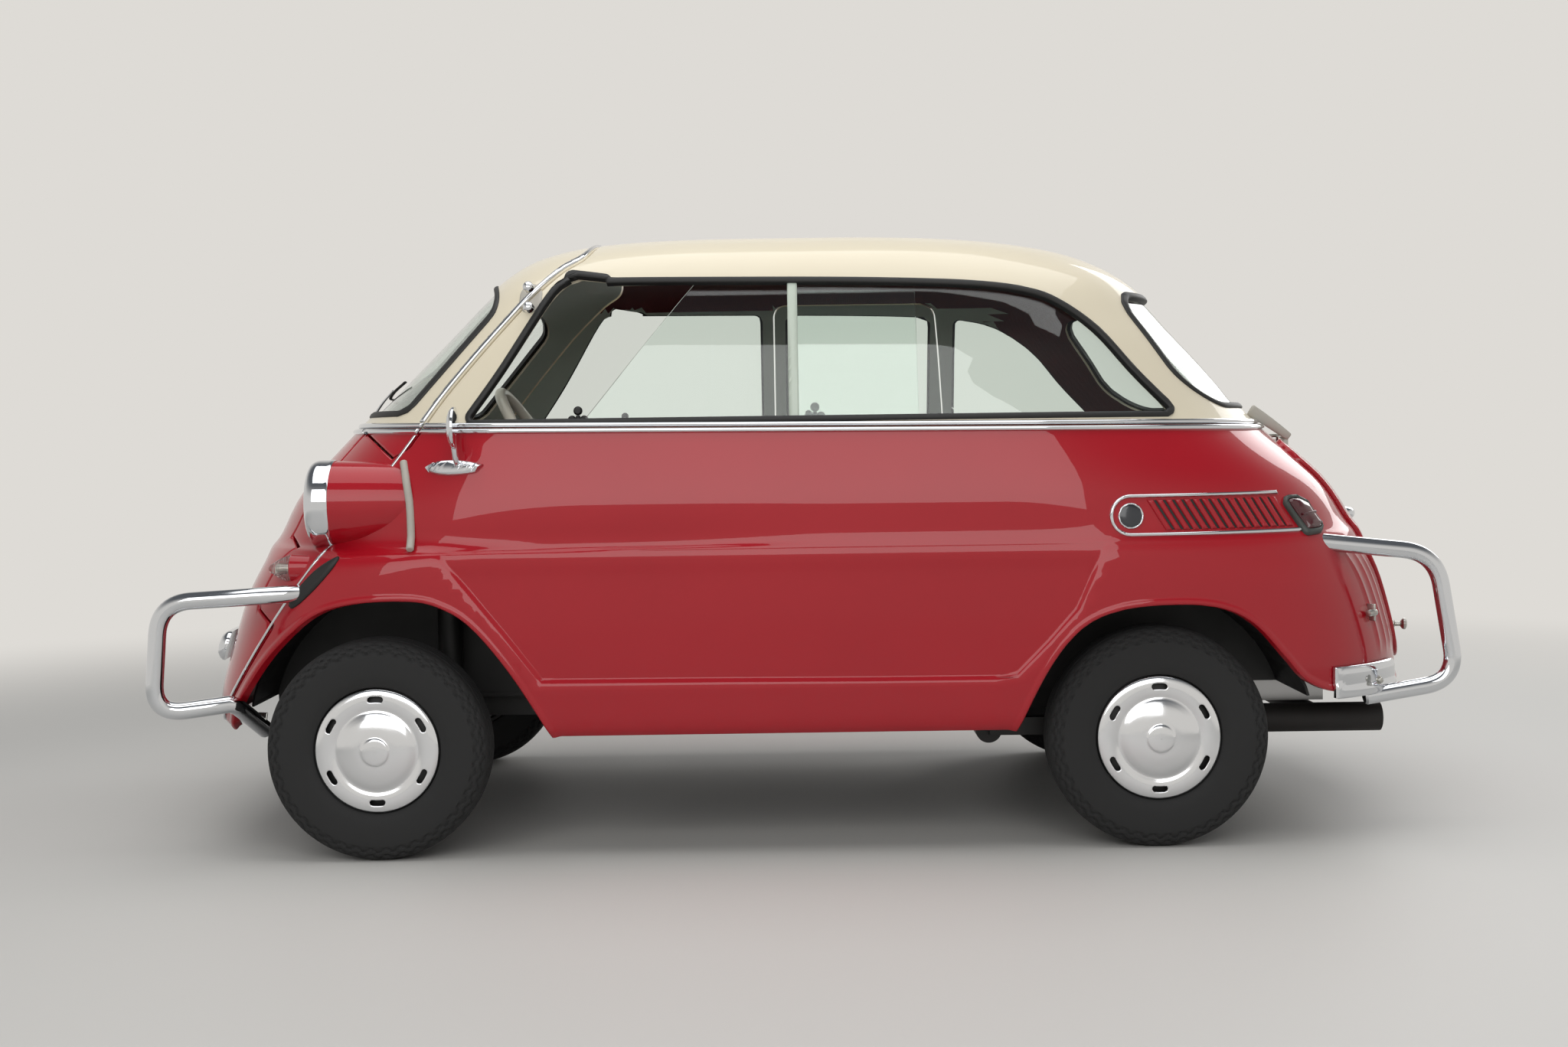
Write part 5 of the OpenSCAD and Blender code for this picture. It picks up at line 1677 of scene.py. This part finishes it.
        spots = ((-60, 958, 6), (-80, 968, 18), (-180, 1000, 14), (-270, 1030, 10))
        line = curve([off_glass(*spot) for spot in spots], 8)
        arm = tube(line, np.linspace(4.5, 2.5, len(line)), 12)
        spots = ((-120, 1012), (-200, 1014), (-280, 1028), (-350, 1048))
        blade = curve([off_glass(*spot, 4) for spot in spots], 8)
        dome = lathe([(11, -6), (12, 2), (9, 8), (4, 11), (0, 11.5)], 28)
        pivot = dome.moved(axes_to((-0.7, 0, 0.7)), off_glass(-60, 956, 0))
        add_piece("wiper_arm", joined([arm, pivot]), CHROME, Body.FRONT_DOOR)
        add_piece("wiper_blade", tube(blade, 4.0, 12, 0.6), SEAL_RUBBER, Body.FRONT_DOOR)

    def _latches(self) -> None:
        """Adds the three-lobed latch knobs inside the window sills."""
        knobs = []
        for x in (-407.0, 110.0):
            lobes = [(x - 13, 952), (x + 13, 952), (x, 972)]
            knobs.append(tube(np.array([(x, -596, 934), (x, -596, 962)]), 5.0, 16))
            for lobe_x, z in lobes:
                turn = lathe([(6, -7), (9, -4), (10, 0), (9, 4), (6, 7)], 24)
                knobs.append(turn.moved(axes_to((0, -1, 0)), (lobe_x, -596, z)))
        add_piece("window_latches", both_sides(joined(knobs)), SEAL_RUBBER, Body.CAR)


@dataclass
class WheelDisc(Surface):
    """Face of a wheel trim: radius and angle to a pressed, domed disc facing -y."""

    section: tuple = (
        ((0, 26.0), (14, 25.6), (26, 24.0), (30, 21.6), (33, 20.8), (48, 19.2), (68, 14.5), (82, 8.5))
        + ((87, 5.2), (91, 5.0), (96, 7.0), (106, 8.6), (118, 8.4), (128, 6.4), (134, 3.0), (137, -2.0))
    )
    step: tuple = (0.3, 0.002)

    def site(self, uv: Array) -> Array:
        """Returns points of the disc."""
        line = np.asarray(self.section, float)
        fine = curve(line, 5)
        rise = np.interp(uv[:, 0], fine[:, 0], fine[:, 1])
        return np.stack([uv[:, 0] * np.sin(uv[:, 1]), -rise, uv[:, 0] * np.cos(uv[:, 1])], axis=1)

    def on_seam(self, uv: Array) -> Array:
        """Tells which corners lie where the disc closes on itself."""
        return (np.abs(np.abs(uv[:, 1]) - math.pi) < 1e-9) | (uv[:, 0] < 0.6)


@dataclass
class RoadWheel:
    """One wheel: slotted polished trim, dark steel disc behind it, and a tyre with zig-zag grooves."""

    name: str
    centre: tuple
    outward: Side
    rim_face: float = 51.0
    tyre_r: float = 242.0
    inner_r: float = 137.5
    # The tyre is finer and grooved outside the first radius; the second marks its tread
    wall_r: float = 205.0
    tread_r: float = 238.5
    zigzags: int = 42
    slots: int = 6
    around: int = 210

    def build(self) -> None:
        """Builds the wheel's pieces on its body."""
        body = "road_wheel_" + self.name
        parts = [
            ("trim", self._trim(), [WHEEL_TRIM, CHASSIS_BLACK], "chrome", ["wheel_" + self.name]),
            ("disc", self._disc(), CHASSIS_BLACK, "black_metal", []),
            ("tread", self._tyre(), TYRE_RUBBER, "tyre_rubber", ["tyre_" + self.name]),
        ]
        for kind, shape, finish, slot, nodes in parts:
            add_piece(f"{kind}_{self.name}", self._placed(shape), finish, body, nodes)

    def _placed(self, shape: Shape) -> Shape:
        """Moves a shape made about the origin, facing -y, to the wheel."""
        turn = np.eye(3) if self.outward is Side.LEFT else np.diag([-1.0, -1.0, 1.0])
        return shape.moved(turn, self.centre)

    def _trim(self) -> Shape:
        """Returns the polished trim with its slots."""
        disc = WheelDisc()
        patch = disc.grid(np.linspace(0.5, 137, 34), np.linspace(-math.pi, math.pi, 97))

        def slots(p: Array) -> Array:
            angle = np.arctan2(p[:, 0], p[:, 2])
            pitch = math.tau / self.slots
            local = (angle + pitch / 2) % pitch - pitch / 2
            radius = np.hypot(p[:, 0], p[:, 2])
            q = np.abs(np.stack([radius * local, radius - 113], axis=1)) - (10.5, 0.0)
            return 6.0 - np.linalg.norm(np.maximum(q, 0), axis=1)

        def face(p: Array) -> Array:
            return 136.5 - np.hypot(p[:, 0], p[:, 2])

        shape = disc.panel(patch, [outside(slots), face], Shoulder(3.0, 3.0), 3.0)
        return shape.moved(np.eye(3), (0, -self.rim_face, 0))

    def _disc(self) -> Shape:
        """Returns the steel disc and rim behind the trim."""
        profile = [(15.5, -14), (34, -14), (34, 20), (60, 26), (110, 28), (125, 20), (126, -51), (134, -51)]
        profile += [(136, -48), (136, 44), (133, 46), (60, 44), (20, 40), (15.5, 34)]
        return lathe(profile, 72).moved(axes_to((0, -1, 0)), (0, 0, 0))

    def _tyre(self) -> Shape:
        """Returns the tyre with moulded rings and zig-zag shoulder grooves."""
        half = [(137, 47), (139, 52), (150, 59), (163, 63), (190, 65), (212, 63.5), (226, 59), (234, 53)]
        half += [(239, 44), (241.4, 30)]
        fine = curve(half + [(self.tyre_r, 0)] + [(r, -w) for r, w in reversed(half)], 6)
        fine = fine[(fine[:, 0] > self.wall_r) | (np.arange(len(fine)) % 3 == 0)]
        angle = np.linspace(0, math.tau, self.around, endpoint=False)
        out = np.gradient(fine, axis=0)
        normal = unit(np.stack([-out[:, 1], out[:, 0]], axis=1))
        normal *= np.sign((normal * (fine - (190, 0))).sum(axis=1))[:, None]
        radius = fine[:, :1] + 0 * angle
        wide = np.abs(fine[:, 1:]) + 0 * angle
        zig = 5.0 * (2 * np.abs((angle * self.zigzags / math.tau) % 1 - 0.5) * 2 - 1)[None]
        groove = np.zeros_like(radius)
        for at in (216.0, 231.0):
            groove += 4.2 * (1 - ramp(1.0, 3.2, np.abs(radius - at - zig))) * (radius > self.wall_r)
        for at in (10.0, 31.0):
            groove += 5.0 * (1 - ramp(1.2, 3.4, np.abs(wide - at - zig * 0.6))) * (radius > self.tread_r)
        for at in (158.0, 170.0, 200.0):
            groove -= 1.0 * (1 - ramp(0.4, 1.8, np.abs(radius - at)))
        shift = fine[:, None, :] - normal[:, None, :] * groove[..., None]
        x, z = shift[..., 0] * np.sin(angle), shift[..., 0] * np.cos(angle)
        points = np.stack([x, -shift[..., 1], z], axis=-1)
        inner = self.inner_r * np.stack([np.sin(angle), 0 * angle, np.cos(angle)], axis=-1)[None]
        points = np.concatenate([points, inner, points[:1]]).reshape(-1, 3)
        return Shape(points, [f[::-1] for f in grid_faces(len(fine) + 2, self.around, True)])


@dataclass
class Mirror:
    """Round chrome door mirror on a strut with a teardrop foot."""

    skin: BodySkin
    patch: Patch
    head: tuple = (-669.0, -667.0, 938.0)

    def build(self) -> None:
        """Builds the mirror's pieces."""
        back = [(45, -6), (46, -3), (45, 0), (40, 5), (30, 9), (16, 11.5), (0, 12)]
        cup = facing_front(lathe(back, 64), self.head)
        line = curve([(-664, -620, 850), (-665, -646, 862), (-667, -664, 890), (-668, -667, 925)], 8)
        strut = tube(line, [9] * 8 + [6.5] * 17)
        spots = [(-743, 851), (-700, 836), (-640, 838), (-594, 852), (-640, 866), (-700, 868)]
        foot = outline_field(curve(spots, 6, True))
        regions, creases = [both(foot, on_side(Side.LEFT))], [(foot, (2.0, 7.0, 10.5))]
        base = self.skin.panel(self.patch, regions, EDGE, 1.0, creases=creases, crown=Shoulder(14.0, 12.0))
        add_piece("mirror_stand", joined([cup, strut, base]), CHROME, Body.CAR, ["mirror"])
        face = facing_front(lathe([(43, -6.6), (43.4, -6.2), (43, -5.0), (0, -5.0)], 64), self.head)
        add_piece("mirror_glass", face, SILVERED, Body.CAR)


@dataclass
class Cabin:
    """Bench seats, steering wheel and steering column."""

    column_low: tuple = (-1080.0, -300.0, 515.0)
    column_top: tuple = (-520.0, -300.0, 866.0)
    wheel_r: float = 183.0
    rim_r: float = 12.0
    # Cushions: radius of the edges, rise of the crown, depth of the sewn channels and pull of the sides
    soft_r: float = 26.0
    soft_crown: float = 9.0
    channel: float = 5.0
    pull: float = 0.012

    def build(self) -> None:
        """Builds the cabin's pieces."""
        self._bench("front_seat", -520, -80, 500)
        self._bench("rear_seat", 230, 699, 329)
        self._steering()

    def _cushion(self, low: Floats, high: Floats, channels: int, top: int) -> Shape:
        """Returns a crowned cushion whose sides pull in, with sewn channels across one face.

        Args:
            low: lowest corner.
            high: highest corner.
            channels: number of sewn channels along y.
            top: the axis of the crowned, sewn face; 2 for up, 0 for the front.

        Returns:
            The cushion.
        """
        lo, hi = np.asarray(low, float), np.asarray(high, float)
        mid, half = (lo + hi) / 2, (hi - lo) / 2
        fine = 36
        u = np.linspace(-1, 1, fine)
        faces, parts = [], []
        for axis in range(3):
            for way in (-1.0, 1.0):
                a, b = (axis + 1) % 3, (axis + 2) % 3
                uu, vv = np.meshgrid(u, u, indexing="ij")
                q = np.zeros((fine, fine, 3))
                q[..., axis], q[..., a], q[..., b] = way, uu, vv
                quads = grid_faces(fine, fine, False)
                base = len(parts) * fine * fine
                faces += [tuple(i + base for i in (f if way > 0 else f[::-1])) for f in quads]
                parts.append(q.reshape(-1, 3))
        q = np.concatenate(parts)
        inner = half - self.soft_r
        box = q * half
        core = np.clip(box, -inner, inner)
        points = core + self.soft_r * unit(box - core)
        share = points / half
        other = [k for k in range(3) if k != top]
        crown = (1 - share[:, other[0]] ** 2) * (1 - share[:, other[1]] ** 2)
        facing = (share[:, top] > 0.2) if top == 2 else (share[:, top] < -0.2)
        way = 1.0 if top == 2 else -1.0
        seam = np.abs(np.sin(share[:, 1] * channels * math.pi / 2)) ** 0.5
        sewn = self.channel * (seam - 1) * np.sqrt(np.maximum(crown, 0))
        points[:, top] += way * facing * (self.soft_crown * (crown - 1) + sewn)
        pull = 1 - self.pull * (1 - share[:, top] ** 2)
        for k in other:
            points[:, k] *= pull
        return Shape(points + mid, faces)

    def _bench(self, name: str, x0: float, x1: float, half: float) -> None:
        """Adds one bench: a cushion, a backrest and its plinth."""
        seat = self._cushion((x0, -half, 414), (x1 - 104, half, 534), 9, 2)
        back = self._cushion((x1 - 112, -half, 424), (x1, half, 860), 9, 0)
        plinth = block((x0 + 40, -half + 40, 325), (x1 - 40, half - 40, 416), 10)
        for kind, shape, nodes in (("cushion", seat, [name]), ("backrest", back, [])):
            piece = add_piece(f"{name}_{kind}", shape, SEAT_VINYL, Body.CAR, nodes)
        add_piece(name + "_plinth", plinth, CHASSIS_BLACK, Body.CAR)

    def _steering(self) -> None:
        """Adds the steering wheel, its spokes, horn button and column."""
        low, top = np.array(self.column_low), np.array(self.column_top)
        span = np.linalg.norm(top - low)
        turn = axes_to(top - low)
        angle = np.linspace(0, math.tau, 97)
        ring = np.stack([self.wheel_r * np.cos(angle), self.wheel_r * np.sin(angle), 0 * angle], axis=1)
        shapes = [tube(ring, self.rim_r, 20)]
        for k in range(3):
            a = k * math.tau / 3 + math.pi / 2
            reach = np.array([math.cos(a), math.sin(a), 0])
            spots = ((18, -14), (70, -16), (140, -8), (178, 0))
            spoke = curve([reach * r + (0, 0, z) for r, z in spots], 6)
            shapes.append(tube(spoke, np.linspace(9, 6.5, len(spoke)), 16))
        boss = [(17, -60), (30, -40), (36, -24), (37, -10), (34, -2), (26, 3), (14, 6), (0, 7)]
        shapes.append(lathe(boss, 48))
        wheel = joined(shapes).moved(turn, top)
        add_piece("steering_rim", wheel, IVORY, Body.STEERING, ["steering_wheel"])
        ends = [low + (top - low) * 0.02, low + (top - low) * (span - 50) / span]
        column = tube(np.array(ends), 16.5, 24)
        add_piece("steering_column", column, IVORY, Body.STEERING)


@dataclass
class Underside:
    """Running gear, floor and exhaust that are shown as their frame nodes."""

    black: tuple = (
        ("chassis_frame", "floor_pan", "wheelhouses", "front_axle", "rear_axle")
        + ("knuckle_left", "knuckle_right")
    )

    def build(self, nodes: dict[str, Object]) -> None:
        """Gives the shown frame nodes their finishes."""
        dress = {name: CHASSIS_BLACK for name in self.black}
        dress |= {"rear_bulkhead": TRIM_VINYL, "engine_block": CAST_ALLOY, "exhaust": EXHAUST_BLACK}
        for name, finish in dress.items():
            mesh = nodes[name].data
            mesh.materials.clear()
            mesh.materials.append(finish.material())
            LOG.info("%s dressed in %s", name, finish.name)


@dataclass
class Studio:
    """Camera, floor, light and background of the picture."""

    camera_at: tuple = (49.2, -4701.7, 911.8)
    yaw: float = 0.143
    pitch: float = 2.685
    roll: float = -0.853
    lens: float = 43.13
    backdrop: str = "#dedbd6"
    ceiling: str = "#5f6266"
    # The backdrop turns to the ceiling between these upward shares of a ray's direction
    ceiling_rise: tuple = (0.25, 0.8)
    surround: str = "#c9ccd0"
    surround_strength: float = 0.45
    floor_half: float = 60.0
    fade: tuple = (2.4, 5.5)

    def build(self) -> None:
        """Sets up the picture."""
        scene = bpy.context.scene
        scene.view_settings.view_transform = "Standard"
        self._camera(scene)
        self._floor(scene)
        self._world(scene)
        self._light(scene, "overhead", (0, -400, 3600), (0, 0, 500), (4.6, 3.4), 86)
        self._light(scene, "near_side", (-600, -4600, 2600), (0, 0, 500), (5.0, 2.4), 80)
        self._light(scene, "rear_side", (3200, 3000, 2600), (0, 0, 600), (2.6, 2.2), 50)

    def _camera(self, scene: Scene) -> None:
        """Places the camera that was fitted to the wheels, roof and belt of the photograph."""
        yaw, pitch, roll = (math.radians(a) for a in (self.yaw, self.pitch, self.roll))
        level = math.cos(pitch)
        ahead = np.array([-math.sin(yaw) * level, math.cos(yaw) * level, -math.sin(pitch)])
        right = np.array([math.cos(yaw), math.sin(yaw), 0.0])
        up = np.cross(right, ahead)
        across = math.cos(roll) * right + math.sin(roll) * up
        above = -math.sin(roll) * right + math.cos(roll) * up
        matrix = np.eye(4)
        matrix[:3, 0], matrix[:3, 1], matrix[:3, 2] = across, above, -ahead
        matrix[:3, 3] = (np.array(self.camera_at) - (ORIGIN_X, 0, 0)) * MM
        data = bpy.data.cameras.new("photo_camera")
        data.lens = self.lens
        data.sensor_width = 36.0
        camera = bpy.data.objects.new("photo_camera", data)
        camera.matrix_world = Matrix(matrix.tolist())
        scene.collection.objects.link(camera)
        scene.camera = camera

    def _floor(self, scene: Scene) -> None:
        """Adds a pale floor that keeps the car's shadow and fades to the backdrop far away."""
        mesh = bpy.data.meshes.new("floor")
        half = self.floor_half
        corners = [(-half, -half, 0), (half, -half, 0), (half, half, 0), (-half, half, 0)]
        mesh.from_pydata(corners, [], [(0, 1, 2, 3)])
        mat = PALE_FLOOR.material()
        tree = mat.node_tree
        place = add_node(tree, "ShaderNodeTexCoord").outputs["Object"]
        away = add_node(tree, "ShaderNodeVectorMath", {"operation": "LENGTH"}, {0: place})
        far = self._ramp(tree, away.outputs["Value"], self.fade)
        share = add_node(tree, "ShaderNodeMath", {"operation": "MULTIPLY"}, {0: far, 1: self._seen(tree)})
        pale = add_node(tree, "ShaderNodeEmission", {"Color": linear(self.backdrop), "Strength": 1.0})
        near = tree.nodes["Principled BSDF"]
        mix = self._mixed(tree, share.outputs[0], near, pale)
        tree.links.new(mix.outputs[0], tree.nodes["Material Output"].inputs["Surface"])
        mesh.materials.append(mat)
        floor = bpy.data.objects.new("floor", mesh)
        scene.collection.objects.link(floor)

    def _ramp(self, tree: NodeTree, value: NodeSocket, ends: tuple[float, float]) -> NodeSocket:
        """Returns a share that rises smoothly from zero to one between two values."""
        settings = {"interpolation_type": "SMOOTHSTEP", "From Min": ends[0], "From Max": ends[1]}
        return add_node(tree, "ShaderNodeMapRange", settings, {"Value": value}).outputs["Result"]

    def _mixed(self, tree: NodeTree, share: NodeSocket, one: Node, two: Node) -> Node:
        """Mixes two shaders by the second one's share."""
        return add_node(tree, "ShaderNodeMixShader", None, {0: share, 1: one.outputs[0], 2: two.outputs[0]})

    def _seen(self, tree: NodeTree) -> NodeSocket:
        """Returns one for rays that the camera sees straight, mirrored or through glass, else zero."""
        path = add_node(tree, "ShaderNodeLightPath")
        seen = path.outputs["Is Camera Ray"]
        for kind in ("Is Glossy Ray", "Is Transmission Ray"):
            rays = {0: seen, 1: path.outputs[kind]}
            seen = add_node(tree, "ShaderNodeMath", {"operation": "MAXIMUM"}, rays).outputs[0]
        return seen

    def _world(self, scene: Scene) -> None:
        """Sets a soft grey surround for light, and for the camera a pale backdrop under a dim ceiling."""
        world = bpy.data.worlds.new("studio")
        scene.world = world
        world.use_nodes = True
        tree = world.node_tree
        surround = tree.nodes["Background"]
        surround.inputs["Color"].default_value = linear(self.surround)
        surround.inputs["Strength"].default_value = self.surround_strength
        pale = add_node(tree, "ShaderNodeBackground", {"Color": linear(self.backdrop), "Strength": 1.0})
        dim = add_node(tree, "ShaderNodeBackground", {"Color": linear(self.ceiling), "Strength": 1.0})
        way = add_node(tree, "ShaderNodeTexCoord").outputs["Generated"]
        upward = add_node(tree, "ShaderNodeSeparateXYZ", None, {0: way}).outputs["Z"]
        room = self._mixed(tree, self._ramp(tree, upward, self.ceiling_rise), pale, dim)
        mix = self._mixed(tree, self._seen(tree), surround, room)
        tree.links.new(mix.outputs[0], tree.nodes["World Output"].inputs["Surface"])

    def _light(
        self,
        scene: Scene,
        name: str,
        at: Floats,
        aim: Floats,
        size: tuple[float, float],
        watts: float,
    ) -> None:
        """Adds one soft box that points at a place."""
        data = bpy.data.lights.new(name, "AREA")
        data.shape = "RECTANGLE"
        data.size, data.size_y = size
        data.energy = watts
        lamp = bpy.data.objects.new(name, data)
        turn = axes_to(np.asarray(at, float) - np.asarray(aim, float))
        matrix = np.eye(4)
        matrix[:3, :3] = turn
        matrix[:3, 3] = np.asarray(at, float) * MM
        lamp.matrix_world = Matrix(matrix.tolist())
        scene.collection.objects.link(lamp)


def main() -> None:
    """Builds the car around its frame."""
    logging.basicConfig(level=logging.INFO, format="%(name)s: %(message)s")
    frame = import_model()
    skin = BodySkin()
    patch = skin.mesh()
    BodyPanels(skin, patch).build()
    Glazing(skin, patch).build()
    close = skin.mesh(rows=6, arc=70, side=66)
    BrightTrim(skin, patch, close).build()
    Lamps(skin, close).build()
    Bumpers(skin, close).build()
    Mirror(skin, close).build()
    Hardware(skin, close).build()
    wheels = [
        ("front_left", (-850, -610, 242), Side.LEFT),
        ("front_right", (-850, 610, 242), Side.RIGHT),
        ("rear_left", (850, -580, 242), Side.LEFT),
        ("rear_right", (850, 580, 242), Side.RIGHT),
    ]
    for name, centre, side in wheels:
        RoadWheel(name, centre, side).build()
    Cabin().build()
    Underside().build(frame["nodes"])
    Studio().build()


if __name__ == "__main__":
    main()
